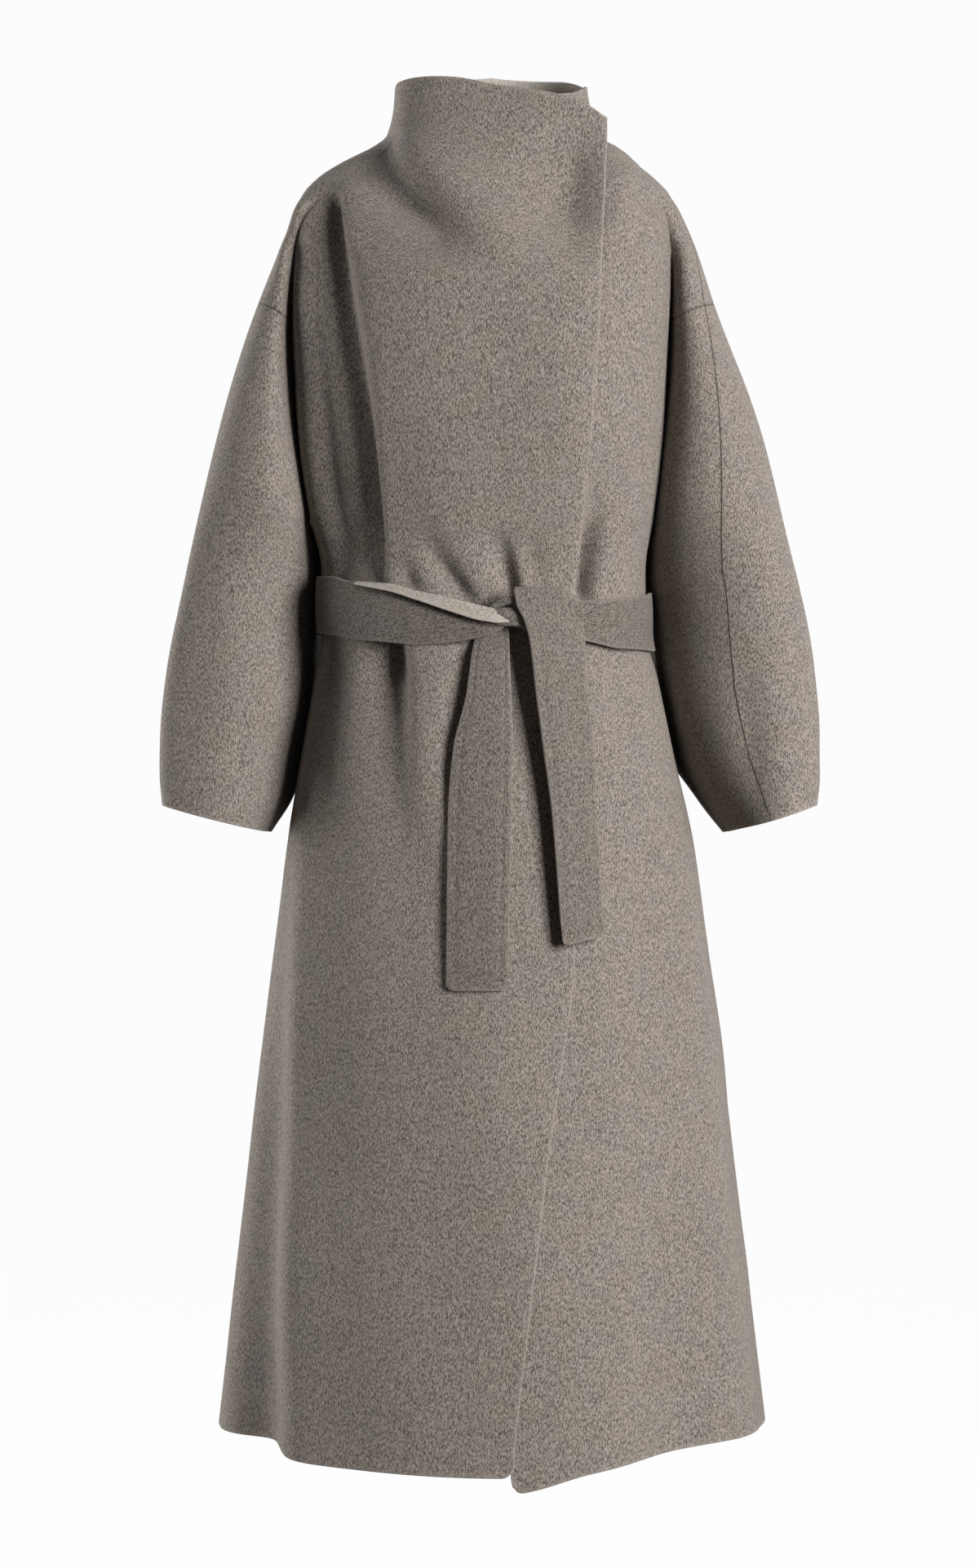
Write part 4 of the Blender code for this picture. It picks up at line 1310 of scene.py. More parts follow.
@dataclass(frozen=True)
class Panel:
    """What the coat's panels have in common.

    Attributes:
        cut: the outline that they are cut from.
        drape: their creases.
        wall: thickness of the cloth.
        seam_gap: how far two panels lie apart at a seam.
        step: size of the grid.
        chest_step: its size across the chest.
        chest_length: length round the chest, from the front edge to the crevice.
        shoulder_length: length from the crevice to the shoulder's seam.
        blade_length: length from the crevice to the centre back.
        sleeve_length: length from a sleeve's inner line to its overarm seam.
        sleeve_clearance: how far a sleeve's inner edge stands clear of the body.
        corner_radius: radius of a front's corner at the hem.
        corner_height: height over which it is rounded.
        crevice_rounds: how often the crevice between chest and arm is smoothed.
        crevice_share: how far a point then moves to the mean of its neighbours.
        crevice_columns: columns on either side that the smoothing reaches.
        crevice_fade: height above the armhole over which it fades out.
        calm_reach: how far from the seam between body and sleeve the drape reaches its full depth.
    """

    cut: CoatCut = CoatCut()
    drape: Drape = Drape()
    wall: float = 0.0025
    seam_gap: float = 0.00002
    step: float = 0.0045
    chest_step: float = 0.0030
    chest_length: float = 0.36
    shoulder_length: float = 0.11
    blade_length: float = 0.26
    sleeve_length: float = 0.17
    sleeve_clearance: float = 0.0006
    corner_radius: float = 0.008
    corner_height: float = 0.030
    crevice_rounds: int = 2
    crevice_share: float = 0.5
    crevice_columns: float = 3.0
    crevice_fade: float = 0.030
    calm_reach: float = 0.010

    def body_levels(self) -> tuple[Array, int]:
        """Lay the levels of a front or the back, closer at collar, armhole and hem.

        Returns:
            Levels as a column, and the row of the armhole.
        """
        cut = self.cut
        upper = levels_between(cut.collar_level, cut.armhole_level, self.step)
        lower = levels_between(cut.armhole_level, cut.hem_level, self.step)
        return np.concatenate([upper, lower[1:]])[:, None], len(upper) - 1

    def seam_stations(self, side: Side, level: Array, first: float, share: Array) -> Array:
        """Give stations from a crevice (1 or 3) to the overarm seam."""
        return mix(first, SEAM.at(side.word, level), share[None, :])

    def soften(self, points: Array, column: int, level: Array) -> None:
        """Round the crevice between chest and arm: points move to the mean of their neighbours in the row.

        Args:
            points: points by row and column, which are changed.
            column: the crevice's column.
            level: levels of the rows; the rounding fades out above the armhole.
        """
        cut = self.cut
        away = (np.arange(1, points.shape[1] - 1) - column) / self.crevice_columns
        above = ease((level - cut.armhole_level) / self.crevice_fade) * (level <= cut.cap_level)
        share = (self.crevice_share * above * np.exp(-away ** 2))[..., None]
        for _ in range(self.crevice_rounds):
            mean = 0.5 * (points[:, :-2] + points[:, 2:])
            points[:, 1:-1] = mix(points[:, 1:-1], mean, share)

    def calm(self, points: Array, column: int, level: Array) -> Array:
        """Give the share of the drape beside the seam between body and sleeve: 0 in it, and 1 well away.

        Args:
            points: points by row and column.
            column: the column of the crevice, which is the seam below the armhole's level.
            level: levels of the rows.

        Returns:
            A share for each point.
        """
        beside = np.linalg.norm(points - points[:, column:column + 1], axis=-1)
        above = ease((level - self.cut.armhole_level) / self.calm_reach)
        return 1.0 - (1.0 - above) * np.exp(-(beside / self.calm_reach) ** 2)

    def creased(self, grid: ClothGrid, calm: Array, armhole: int) -> ClothGrid:
        """Move a grid's points out along its normals by the drape.

        Args:
            grid: the grid, which is changed.
            calm: share of the drape at each point.
            armhole: row of the armhole; the row below it helps to find the normals there.

        Returns:
            The same grid.
        """
        known = grid.used()
        known[armhole + 1] = True
        moved = self.drape.moved(grid.points, grid_normals(grid.points, known))
        grid.points = mix(grid.points, moved, calm[..., None])
        return grid

    def trim(self, points: Array, last: bool) -> None:
        """Move the first or last point of every row inwards by half of the seam's gap.

        Args:
            points: points by row and column, which are changed.
            last: whether the last points are meant.
        """
        end, inner = (-1, -2) if last else (0, 1)
        run = points[:, inner] - points[:, end]
        points[:, end] += 0.5 * self.seam_gap * run / np.linalg.norm(run, axis=-1, keepdims=True)


@dataclass(frozen=True)
class FrontPanel(Panel):
    """One front: chest and skirt, the collar grown on above, and the dropped shoulder.

    Attributes:
        side: the wearer's side.
    """

    side: Side = Side.RIGHT

    def grid(self) -> ClothGrid:
        """Cut and crease the front: stations from its edge to the shoulder's seam, by levels from the collar.

        Returns:
            Its grid; the corner at the hem is rounded off as a quarter circle.
        """
        level, armhole = self.body_levels()
        chest = np.repeat(spread(self.chest_length, self.chest_step)[None, :], len(level), axis=0)
        share = spread(self.shoulder_length, self.step, fine_start=False)
        shoulder = self.seam_stations(self.side, level, FRONT_CREVICE, share)
        crevice = chest.shape[1] - 1
        points = self.cut.points(self.side, np.hstack([chest, shoulder[:, 1:]]), level)
        self.soften(points, crevice, level)
        beside = np.linalg.norm(points - points[:, :1], axis=-1)
        near_hem = ease((self.cut.hem_level + self.corner_height - level) / self.corner_height)
        points[..., 2] += near_hem * quarter_round(beside, self.corner_radius)
        self.trim(points[:armhole + 1], last=True)
        self.trim(points[armhole + 1:, :crevice + 1], last=True)
        points[armhole, crevice + 1:, 2] += 0.5 * self.seam_gap
        keep = all_quads(points)
        keep[armhole:, crevice:] = False
        calm = self.calm(points, crevice, level)
        edge = Border.FIRST
        if self.side is Side.RIGHT:
            points, keep, calm, edge = points[:, ::-1], keep[:, ::-1], calm[:, ::-1], Border.LAST
        free = frozenset({edge, Border.TOP, Border.BOTTOM})
        return self.creased(ClothGrid(points, keep, free, self.wall), calm, armhole)


@dataclass(frozen=True)
class BackPanel(Panel):
    """The back: one piece across, with both dropped shoulders and the back of the collar."""

    def grid(self) -> ClothGrid:
        """Cut and crease the back: on each side stations from the shoulder's seam to the centre, by levels.

        Returns:
            Its grid, with both halves joined at the centre.
        """
        level, armhole = self.body_levels()
        share = spread(self.shoulder_length, self.step, fine_start=False)
        blade = BACK_CREVICE + spread(self.blade_length, self.step, fine_end=False)
        blade = np.repeat(blade[None, :], len(level), axis=0)
        crevice = len(share) - 1
        halves, calms = [], []
        for side in Side:
            shoulder = self.seam_stations(side, level, BACK_CREVICE, share)[:, ::-1]
            points = self.cut.points(side, np.hstack([shoulder[:, :-1], blade]), level)
            self.soften(points, crevice, level)
            self.trim(points[:armhole + 1], last=False)
            self.trim(points[armhole + 1:, crevice:], last=False)
            points[armhole, :crevice, 2] += 0.5 * self.seam_gap
            halves.append(points)
            calms.append(self.calm(points, crevice, level))
        points = np.concatenate([halves[0], halves[1][:, -2::-1]], axis=1)
        calm = np.concatenate([calms[0], calms[1][:, -2::-1]], axis=1)
        keep = all_quads(points)
        keep[armhole:, :crevice] = False
        keep[armhole:, -crevice:] = False
        free = frozenset({Border.TOP, Border.BOTTOM})
        grid = ClothGrid(points[:, ::-1], keep[:, ::-1], free, self.wall)
        return self.creased(grid, calm[:, ::-1], armhole)


@dataclass(frozen=True)
class SleeveHalf(Panel):
    """The front or back half of a sleeve, from the armhole to the cuff.

    Attributes:
        side: the wearer's side.
        face: which half it is.
    """

    side: Side = Side.RIGHT
    face: Face = Face.FRONT

    def grid(self) -> ClothGrid:
        """Cut and crease the sleeve half: stations from its inner line to the overarm seam, by levels.

        A row above the armhole turns the normals of the first one, and is left out at the end.

        Returns:
            Its grid.
        """
        cut = self.cut
        level = levels_between(cut.armhole_level, cut.cuff_level, self.step)
        level = np.concatenate([[cut.armhole_level + self.step], level])[:, None]
        share = spread(self.sleeve_length, self.step)
        stations = self.seam_stations(self.side, level, self.face.value, share)
        clear = self.sleeve_clearance * ease((cut.armhole_level - level) / self.calm_reach)
        points = cut.points(self.side, stations, level, clear)
        self.trim(points, last=False)
        self.trim(points, last=True)
        points[1, :, 2] -= 0.5 * self.seam_gap
        calm = self.calm(points, 0, level)
        if (self.side is Side.RIGHT) == (self.face is Face.FRONT):
            points, calm = points[:, ::-1], calm[:, ::-1]
        keep = all_quads(points)
        grid = self.creased(ClothGrid(points, keep, frozenset({Border.BOTTOM}), self.wall), calm, armhole=1)
        return ClothGrid(grid.points[1:], keep[1:], grid.free, self.wall)


# Belt round the waist: degrees round from the front (positive to the wearer's left), top and bottom edge,
# and how far it stands off the coat
BAND = Table("degrees top bottom lift", [
    (-347, -0.4265, -0.4510, 0.0059),
    (-340, -0.4240, -0.4520, 0.0058),
    (-327, -0.4193, -0.4553, 0.0054),
    (-312, -0.4160, -0.4610, 0.0054),
    (-282, -0.4085, -0.4610, 0.0054),
    (-270, -0.4060, -0.4580, 0.0054),
    (-180, -0.3940, -0.4460, 0.0054),
    (-90, -0.3920, -0.4440, 0.0054),
    (-60, -0.3950, -0.4480, 0.0054),
    (-50, -0.4000, -0.4520, 0.0054),
    (-33, -0.4050, -0.4567, 0.0056),
    (-23, -0.4124, -0.4593, 0.0066),
    (-13, -0.4190, -0.4575, 0.0084),
    (-5, -0.4250, -0.4538, 0.0110),
    (1, -0.4300, -0.4490, 0.0128),
    (6, -0.4350, -0.4420, 0.0130),
])

# Lighter reverse of the belt, turned down over its top edge beside the knot: its top edge, how far it hangs
# and how far it stands off the coat
FLAP = Table("degrees top drop lift", [
    (-46, -0.4010, 0.0016, 0.0060),
    (-33, -0.4042, 0.0060, 0.0084),
    (-23, -0.4114, 0.0080, 0.0104),
    (-13, -0.4178, 0.0118, 0.0130),
    (-5, -0.4236, 0.0134, 0.0158),
    (1, -0.4279, 0.0120, 0.0172),
    (6, -0.4350, 0.0040, 0.0170),
])

# Belt ends: middle line, half width, and how far each edge of the outer face stands off the coat
TAIL_COLUMNS = "height middle half lift_right lift_left"
OVER_TAIL = Table(TAIL_COLUMNS, [
    (-0.4135, 0.0437, 0.0245, 0.0245, 0.0130),
    (-0.4250, 0.0460, 0.0250, 0.0255, 0.0128),
    (-0.4386, 0.0516, 0.0246, 0.0270, 0.0125),
    (-0.4594, 0.0556, 0.0241, 0.0280, 0.0125),
    (-0.4910, 0.0574, 0.0226, 0.0265, 0.0130),
    (-0.5380, 0.0627, 0.0224, 0.0230, 0.0132),
    (-0.6100, 0.0694, 0.0200, 0.0185, 0.0120),
    (-0.7230, 0.0768, 0.0189, 0.0160, 0.0105),
])
UNDER_TAIL = Table(TAIL_COLUMNS, [
    (-0.4500, 0.0005, 0.0150, 0.0058, 0.0058),
    (-0.4560, 0.0002, 0.0155, 0.0066, 0.0068),
    (-0.4660, -0.0005, 0.0165, 0.0105, 0.0110),
    (-0.5020, -0.0020, 0.0195, 0.0120, 0.0110),
    (-0.5527, -0.0072, 0.0258, 0.0090, 0.0072),
    (-0.6100, -0.0097, 0.0277, 0.0066, 0.0054),
    (-0.7617, -0.0122, 0.0268, 0.0050, 0.0050),
])


@dataclass(frozen=True)
class BeltBand:
    """The belt round the waist, with its reverse turned down over the top edge beside the knot.

    Attributes:
        cut: the outline that it lies on.
        wall: thickness of the band.
        flap_wall: thickness of the flap.
        step: size of the grid.
        length: length round the waist.
        width: width of the belt.
        bulge: how far the band's middle stands out.
        hollow: how far the band lies back behind the flap.
        hollow_reach: how far below the flap it comes out again.
        hollow_fade: degrees over which the hollow starts and ends.
        flap_width: width of the flap over its turn.
        turn_radius: radius of the flap's turn.
        turn_share: share of the flap's width that makes the turn.
        flap_stand: how far the flap's lower edge stands away.
    """

    cut: CoatCut = CoatCut()
    wall: float = 0.0038
    flap_wall: float = 0.0020
    step: float = 0.0022
    length: float = 0.84
    width: float = 0.052
    bulge: float = 0.0012
    hollow: float = 0.0035
    hollow_reach: float = 0.007
    hollow_fade: float = 7.0
    flap_width: float = 0.020
    turn_radius: float = 0.0028
    turn_share: float = 0.4
    flap_stand: float = 0.0028

    def hollowed(self, degrees: Array, height: Array) -> Array:
        """Give how far the band lies back: fully behind the flap, and less and less below it.

        Args:
            degrees: places round from the front.
            height: heights of the points.

        Returns:
            The hollow's depth at each point.
        """
        lower_edge = FLAP.at("top", degrees) - FLAP.at("drop", degrees)
        behind = ease((height - lower_edge + self.hollow_reach) / self.hollow_reach)
        start = ease((degrees - FLAP.keys[0]) / self.hollow_fade)
        end = ease((FLAP.keys[-1] - degrees) / self.hollow_fade)
        return self.hollow * behind * start * end

    def band_grid(self) -> ClothGrid:
        """Lay the band: places round the waist by shares of its width, bulged out as a parabola.

        Returns:
            Its grid.
        """
        degrees = mix(BAND.keys[0], BAND.keys[-1], spread(self.length, self.step))[None, :]
        share = spread(self.width, self.step)[:, None]
        height = mix(BAND.at("top", degrees), BAND.at("bottom", degrees), share)
        arch = self.bulge * 4.0 * share * (1.0 - share)
        lift = BAND.at("lift", degrees) + arch - self.hollowed(degrees, height)
        points = self.cut.outside(np.broadcast_to(degrees, height.shape), height, lift)
        return ClothGrid(points, all_quads(points), frozenset(Border), self.wall)

    def flap_grid(self) -> ClothGrid:
        """Lay the flap: a half circle over the band's top edge, then straight down and away from the band.

        Returns:
            Its grid.
        """
        span = self.length * (FLAP.keys[-1] - FLAP.keys[0]) / 360.0
        degrees = mix(FLAP.keys[0], FLAP.keys[-1], spread(span, self.step))[None, :]
        share = spread(self.flap_width, self.step)[:, None]
        turn = np.pi * np.clip(share / self.turn_share, 0.0, 1.0)
        fall = np.clip((share - self.turn_share) / (1.0 - self.turn_share), 0.0, 1.0)
        drop = FLAP.at("drop", degrees)
        radius = np.minimum(self.turn_radius, 0.5 * drop)
        height = FLAP.at("top", degrees) - radius * (1.0 - np.sin(turn)) - (drop - radius) * fall
        lift = FLAP.at("lift", degrees) - radius * (1.0 + np.cos(turn)) + self.flap_stand * fall
        points = self.cut.outside(np.broadcast_to(degrees, height.shape), height, lift)
        return ClothGrid(points, all_quads(points), frozenset(Border), self.flap_wall, ClothSlot.REVERSE)


@dataclass(frozen=True)
class BeltEnd:
    """A hanging end of the belt: a strip that stands off the coat along its edges.

    Attributes:
        sizes: middle line, half width and lifts, by height.
        roll_radius: radius of the roll over the knot; 0 where the end comes out from under the band.
        roll_rows: rows of the roll.
        shoulder_drop: how far the roll falls off at its left end.
        shoulder_height: length over which it does.
        top_slant: how much higher the left end of the top lies.
        slant: how much higher the left corner of the end lies.
        cut: the outline that it lies on.
        wall: thickness of the doubled cloth.
        step: size of the grid along the strip.
        cross_step: size of the grid across it.
        width: width of the belt.
        corner_radius: radius of its corners.
        corner_height: length over which they are rounded.
        arch: how far the edges lie back behind the middle.
        arch_power: how late the arch falls off, as a power of the distance from the middle.
        shoulder_power: the same for the roll's left end.
        groove: depth of the groove along the felled edges.
        groove_place: how far inside the edges it runs.
        groove_width: half of its width.
    """

    sizes: Table
    roll_radius: float = 0.0
    roll_rows: int = 8
    shoulder_drop: float = 0.0
    shoulder_height: float = 0.030
    top_slant: float = 0.0
    slant: float = 0.0
    cut: CoatCut = CoatCut()
    wall: float = 0.0038
    step: float = 0.0030
    cross_step: float = 0.0014
    width: float = 0.052
    corner_radius: float = 0.007
    corner_height: float = 0.030
    arch: float = 0.0014
    arch_power: int = 4
    shoulder_power: int = 5
    groove: float = 0.0007
    groove_place: float = 0.0075
    groove_width: float = 0.0018

    def grid(self) -> ClothGrid:
        """Lay the strip: shares of its width by heights, with a half circle at the top and round corners.

        Returns:
            Its grid.
        """
        bottom, top = self.sizes.keys[0], self.sizes.keys[-1]
        level = levels_between(top, bottom, self.step, fine_start=False)
        turn = np.zeros(len(level))
        if self.roll_radius > 0.0:
            level = np.concatenate([np.full(self.roll_rows, top), level])
            turn = np.concatenate([np.linspace(np.pi, 0.0, self.roll_rows, endpoint=False), turn])
        level, turn = level[:, None], turn[:, None]
        share = mix(-1.0, 1.0, spread(self.width, self.cross_step))[None, :]
        sideways = 0.5 + 0.5 * share
        beside = 0.5 * self.width * (1.0 - np.abs(share))
        inside = np.minimum(beside, level - bottom)
        groove = self.groove * np.exp(-((inside - self.groove_place) / self.groove_width) ** 2)
        lift = mix(self.sizes.at("lift_right", level), self.sizes.at("lift_left", level), sideways)
        lift = lift - self.roll_radius * (1.0 - np.cos(turn)) - self.arch * share ** self.arch_power - groove
        near_top = ease((level - top + self.shoulder_height) / self.shoulder_height)
        shoulder = self.shoulder_drop * np.clip(share, 0.0, 1.0) ** self.shoulder_power
        drop = near_top * (shoulder - self.top_slant * sideways)
        near_end = ease((bottom + self.corner_height - level) / self.corner_height)
        rise = near_end * (quarter_round(beside, self.corner_radius) + self.slant * sideways)
        height = level + self.roll_radius * np.sin(turn) - drop + rise
        x = self.sizes.at("middle", level) + share * self.sizes.at("half", level)
        points = self.cut.before_front(x, height, lift)
        return ClothGrid(points, all_quads(points), frozenset(Border), self.wall)


def ring_quads(rings: int, segments: int) -> Array:
    """Give the quads between rings of points that are numbered ring after ring.

    Args:
        rings: number of rings.
        segments: number of points in each.

    Returns:
        Four numbers for each quad.
    """
    index = np.arange(rings * segments).reshape(rings, segments)
    after = np.roll(index, -1, axis=1)
    return np.stack([index[:-1], after[:-1], after[1:], index[1:]], axis=-1).reshape(-1, 4)


@dataclass(frozen=True)
class BeltKnot:
    """The knot: small wraps of the belt, each a flattened tube that is carried along an arched path.

    Attributes:
        cut: the outline that it lies on.
        segments: points round a wrap.
        rows: rings along it.
        end_power: how late a wrap narrows to its ends, as a power of the distance from its middle.
        end_size: share of its size that is left at the ends.
        paths: for each wrap, points of x, height, lift, half width and half thickness.
    """

    cut: CoatCut = CoatCut()
    segments: int = 20
    rows: int = 24
    end_power: int = 8
    end_size: float = 0.02
    paths: tuple[tuple[tuple[float, float, float, float, float], ...], ...] = (
        (
            (-0.0050, -0.4300, 0.0105, 0.0016, 0.0022),
            (0.0060, -0.4238, 0.0130, 0.0032, 0.0026),
            (0.0158, -0.4206, 0.0150, 0.0040, 0.0030),
            (0.0300, -0.4250, 0.0140, 0.0050, 0.0030),
        ),
        (
            (-0.0020, -0.4310, 0.0130, 0.0020, 0.0024),
            (0.0100, -0.4318, 0.0150, 0.0050, 0.0030),
            (0.0190, -0.4345, 0.0155, 0.0075, 0.0034),
            (0.0320, -0.4370, 0.0140, 0.0085, 0.0034),
        ),
        (
            (0.0040, -0.4420, 0.0120, 0.0014, 0.0014),
            (0.0120, -0.4412, 0.0150, 0.0020, 0.0020),
            (0.0210, -0.4412, 0.0165, 0.0022, 0.0020),
            (0.0330, -0.4455, 0.0150, 0.0026, 0.0020),
        ),
    )

    def shells(self) -> list[dict[str, Array]]:
        """Carry an oval ring along each path, drawn together at both ends.

        Returns:
            A shell for each wrap.
        """
        made = []
        for path in self.paths:
            stops = np.linspace(0.0, 1.0, len(path))
            line = Table("along x height lift half thick", [(s, *p) for s, p in zip(stops, path)])
            along = np.linspace(0.0, 1.0, self.rows)[:, None]
            left = np.clip(1.0 - (2.0 * along - 1.0) ** self.end_power, 0.0, 1.0)
            closing = np.sqrt(left) + self.end_size
            x, height = line.at("x", along), line.at("height", along)
            run_x, run_height = np.gradient(x, axis=0), np.gradient(height, axis=0)
            length = np.hypot(run_x, run_height)
            turn = np.linspace(0.0, 2.0 * np.pi, self.segments, endpoint=False)[None, :]
            side = closing * line.at("half", along) * np.cos(turn)
            out = closing * line.at("thick", along) * np.sin(turn)
            points = self.cut.before_front(x - side * run_height / length, height + side * run_x / length,
                                           line.at("lift", along) + out)
            made.append(self.tube(points))
        return made

    def tube(self, points: Array) -> dict[str, Array]:
        """Join rings of points to a closed tube.

        Args:
            points: points by ring and place round it.

        Returns:
            Arrays as ClothGrid.shell gives them.
        """
        rings, segments = points.shape[:2]
        half = segments // 2
        first = np.arange(segments)
        caps = []
        for ring, order in ((first, -1), (first + (rings - 1) * segments, 1)):
            front, back = ring[:half], ring[half:][::-1]
            cap = np.stack([front[:-1], front[1:], back[1:], back[:-1]], axis=-1)
            caps.append(cap[:, ::order])
        quads = np.concatenate([ring_quads(rings, segments)] + caps)
        vertices = points.reshape(-1, 3)
        nothing = np.zeros(len(vertices))
        slots = np.full(len(quads), ClothSlot.OUTER)
        return {"vertices": vertices, "quads": quads, "slots": slots, "edge": nothing, "seam": nothing}


class Held(Enum):
    """How a sheet of cloth is held."""

    HUNG = "hung"
    STRETCHED = "stretched"
    FOLDED = "folded"


@dataclass(frozen=True)
class FlatCut:
    """How a piece of cloth was cut before it was sewn or tied.

    Attributes:
        width: width of the flat piece.
        length: length of the flat piece.
        held: how it is held.
        rests_on: nodes that it lies on.
        area: its flat area, where that is less than the whole rectangle.
    """

    width: float
    length: float
    held: Held = Held.HUNG
    rests_on: tuple[str, ...] = ()
    area: float | None = None

    def declare(self, piece: bpy.types.Object) -> None:
        """Take a piece and do nothing with it: no sheet is declared."""


# Flat cut of each node's cloth
CUTS = {
    "front_right": FlatCut(0.52, 1.27, rests_on=("back",), area=0.43),
    "front_left": FlatCut(0.49, 1.27, rests_on=("back",), area=0.395),
    "back": FlatCut(0.78, 1.30, area=0.66),
    "sleeve_right_front": FlatCut(0.18, 0.52, rests_on=("back",), area=0.091),
    "sleeve_right_back": FlatCut(0.16, 0.52, rests_on=("back",), area=0.080),
    "sleeve_left_front": FlatCut(0.10, 0.52, rests_on=("back",), area=0.0485),
    "sleeve_left_back": FlatCut(0.26, 0.52, rests_on=("back",), area=0.130),
    "belt_band": FlatCut(0.055, 0.82, Held.STRETCHED, ("front_right", "back")),
    "belt_end_over": FlatCut(0.050, 0.33, rests_on=("belt_knot",)),
    "belt_end_under": FlatCut(0.055, 0.31, rests_on=("belt_knot",)),
    "belt_knot": FlatCut(0.022, 0.050, Held.FOLDED, ("belt_band",)),
}


@dataclass(frozen=True)
class Coat:
    """The whole coat: builds every piece and dresses it.

    Attributes:
        wardrobe: the finishes.
        band: the belt round the waist.
        over: the belt end that comes over the knot.
        under: the belt end that comes out below the knot.
        knot: the belt's knot.
    """

    wardrobe: Wardrobe = Wardrobe()
    band: BeltBand = BeltBand()
    over: BeltEnd = BeltEnd(OVER_TAIL, roll_radius=0.0048, shoulder_drop=0.011, slant=0.008)
    under: BeltEnd = BeltEnd(UNDER_TAIL, top_slant=0.012)
    knot: BeltKnot = BeltKnot()

    def piece(self, node: str, shells: list[dict[str, Array]], cloth: list[bpy.types.Material],
              slot: str) -> None:
        """Make the piece that takes a node's place, and hand it to its cut, which declares nothing.

        Args:
            node: the node's name.
            shells: its shells.
            cloth: materials of its outer and inner face.
            slot: the node's material slot; not used.
        """
        CUTS[node].declare(make_piece("cloth_" + node, shells, cloth, node))

    def build(self) -> None:
        """Build the fronts, the sleeves, the back and the belt."""
        cloth = [self.wardrobe.coat.material(), self.wardrobe.reverse.material()]
        for side in Side:
            self.piece(f"front_{side.word}", [FrontPanel(side=side).grid().shell()], cloth, "coat_wool")
            for face in Face:
                node = f"sleeve_{side.word}_{face.name.lower()}"
                self.piece(node, [SleeveHalf(side=side, face=face).grid().shell()], cloth, "coat_wool")
        self.piece("back", [BackPanel().grid().shell()], cloth, "coat_wool")
        self.build_belt()

    def build_belt(self) -> None:
        """Build the belt round the waist, its two ends and the knot."""
        strip = [self.wardrobe.belt.material(), self.wardrobe.belt_reverse.material()]
        round_waist = [self.wardrobe.shaded_belt_round.material(), strip[1]]
        band_shells = [self.band.band_grid().shell(), self.band.flap_grid().shell()]
        self.piece("belt_band", band_shells, round_waist, "belt_wool")
        self.piece("belt_end_over", [self.over.grid().shell()], strip, "belt_wool")
        self.piece("belt_end_under", [self.under.grid().shell()], strip, "belt_wool")
        self.piece("belt_knot", self.knot.shells(), strip, "belt_wool")


@dataclass(frozen=True)
class SoftLight:
    """A large soft lamp that looks at the coat.

    Attributes:
        name: its name.
        place: where it stands.
        size: its width and height.
        watts: its power.
    """

    name: str
    place: tuple[float, float, float]
    size: tuple[float, float]
    watts: float

    def build(self, target: Vector) -> None:
        """Set the lamp up and turn it to a target.

        Args:
            target: the place that it looks at.
        """
        lamp = bpy.data.lights.new(self.name, "AREA")
        lamp.shape = "RECTANGLE"
        lamp.size, lamp.size_y = self.size
        lamp.energy = self.watts
        holder = bpy.data.objects.new(self.name, lamp)
        holder.location = self.place
        holder.rotation_euler = (target - Vector(self.place)).to_track_quat("-Z", "Y").to_euler()
        bpy.context.scene.collection.objects.link(holder)


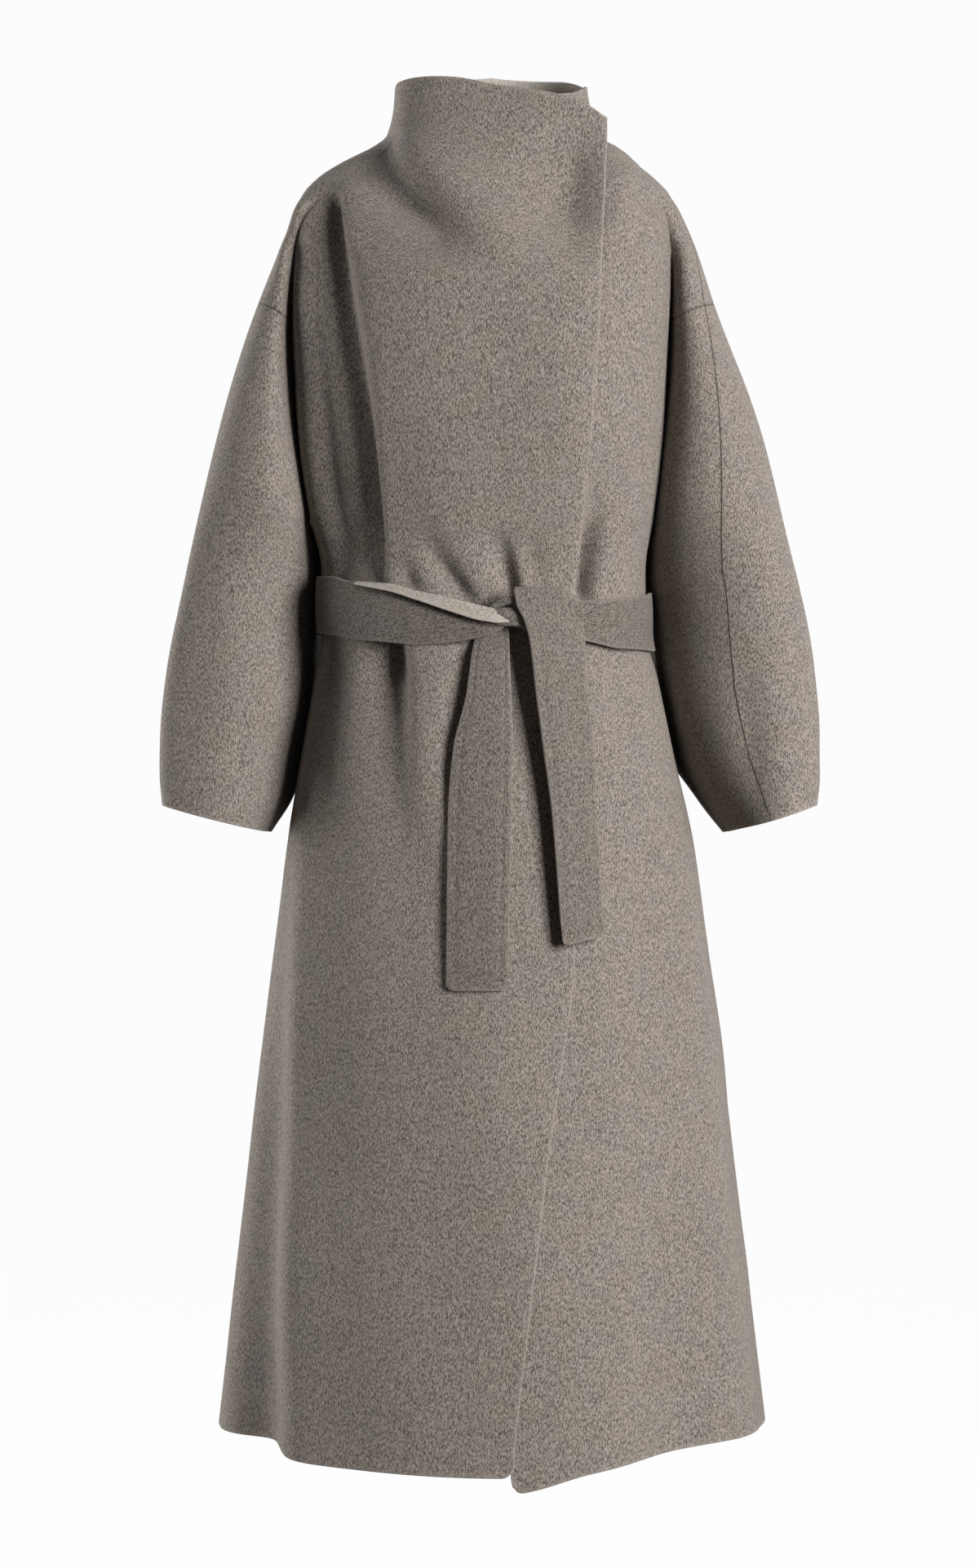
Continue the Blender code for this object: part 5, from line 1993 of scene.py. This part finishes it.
@dataclass(frozen=True)
class Studio:
    """A plain white studio: a pale floor that runs up into a round wall, soft lamps and the camera.

    Attributes:
        lamps: the soft lamps.
        target: the place that they look at.
        floor_height: height of the floor.
        floor_radius: radius of its flat part.
        cove_radius: radius of the curve from the floor up to the wall.
        cove_rows: rings of that curve.
        wall_height: height of the wall above the floor.
        segments: points round the wall.
        paper: colour of floor and wall.
        glow: their own light, which keeps them white.
        world_strength: strength of the light from all sides.
        camera_place: where the camera stands.
        focal_pixels: its focal length in pixels of the picture.
        picture_height: height of the picture in pixels.
        sensor: height of the sensor in millimetres.
    """

    lamps: tuple[SoftLight, ...] = (
        SoftLight("key", (2.3, -2.3, 0.15), (1.4, 1.8), 165.0),
        SoftLight("left", (-3.2, 0.40, -0.1), (1.0, 1.6), 46.0),
        SoftLight("left_low", (-3.2, -0.1, -1.2), (1.0, 1.0), 34.0),
        SoftLight("rim_right", (1.8, 1.8, 0.2), (0.8, 2.2), 25.0),
        SoftLight("rim_left", (-1.8, 1.8, 0.2), (0.8, 2.2), 45.0),
    )
    target: tuple[float, float, float] = (0.0, 0.0, -0.55)
    floor_height: float = -1.60
    floor_radius: float = 8.0
    cove_radius: float = 1.5
    cove_rows: int = 16
    wall_height: float = 9.0
    segments: int = 96
    paper: Colour = (0.02, 0.02, 0.02)
    glow: float = 0.97
    world_strength: float = 0.06
    camera_place: tuple[float, float, float] = (-0.0015, -3.0, -0.582)
    focal_pixels: float = 4000.0
    picture_height: float = 1922.0
    sensor: float = 36.0

    def build(self) -> None:
        """Set up floor, lamps, world and camera."""
        self.build_paper()
        for lamp in self.lamps:
            lamp.build(Vector(self.target))
        world = bpy.data.worlds.new("studio")
        world.use_nodes = True
        world.node_tree.nodes["Background"].inputs["Color"].default_value = (*WHITE, 1.0)
        world.node_tree.nodes["Background"].inputs["Strength"].default_value = self.world_strength
        bpy.context.scene.world = world
        bpy.context.scene.view_settings.view_transform = "Standard"
        self.build_camera()

    def build_paper(self) -> None:
        """Carry a profile round: the rim of the floor's disc, a quarter circle up from it, and the wall."""
        turn = np.linspace(0.0, 0.5 * np.pi, self.cove_rows)
        wall_radius = self.floor_radius + self.cove_radius
        radius = np.append(self.floor_radius + self.cove_radius * np.sin(turn), wall_radius)[:, None]
        rise = np.append(self.cove_radius * (1.0 - np.cos(turn)), self.wall_height)[:, None]
        around = np.linspace(0.0, 2.0 * np.pi, self.segments, endpoint=False)[None, :]
        height = np.broadcast_to(self.floor_height + rise, (len(rise), self.segments))
        points = np.stack([radius * np.cos(around), radius * np.sin(around), height], axis=-1)
        quads = ring_quads(len(rise), self.segments)[:, ::-1]
        mesh = bpy.data.meshes.new("studio_paper")
        faces = [list(range(self.segments))] + quads.tolist()
        mesh.from_pydata(points.reshape(-1, 3).tolist(), [], faces)
        tree = ShaderTree("studio_paper")
        tree.feed(tree.principled, {
            "Base Color": (*self.paper, 1.0),
            "Roughness": 1.0,
            "Specular IOR Level": 0.0,
            "Emission Color": (*WHITE, 1.0),
            "Emission Strength": self.glow,
        })
        mesh.materials.append(tree.material)
        paper = bpy.data.objects.new("studio_paper", mesh)
        paper.visible_diffuse = False
        paper.visible_glossy = False
        bpy.context.scene.collection.objects.link(paper)

    def build_camera(self) -> None:
        """Set the camera level in front of the coat, with the photo's angle of view."""
        lens = bpy.data.cameras.new("camera")
        lens.sensor_width = self.sensor
        lens.lens = self.sensor * self.focal_pixels / self.picture_height
        camera = bpy.data.objects.new("camera", lens)
        camera.location = self.camera_place
        camera.rotation_euler = (0.5 * np.pi, 0.0, 0.0)
        bpy.context.scene.collection.objects.link(camera)
        bpy.context.scene.camera = camera


def main() -> None:
    """Build the coat and its studio."""
    logging.basicConfig(level=logging.INFO, format="%(message)s")
    Coat().build()
    Studio().build()


if __name__ == "__main__":
    main()
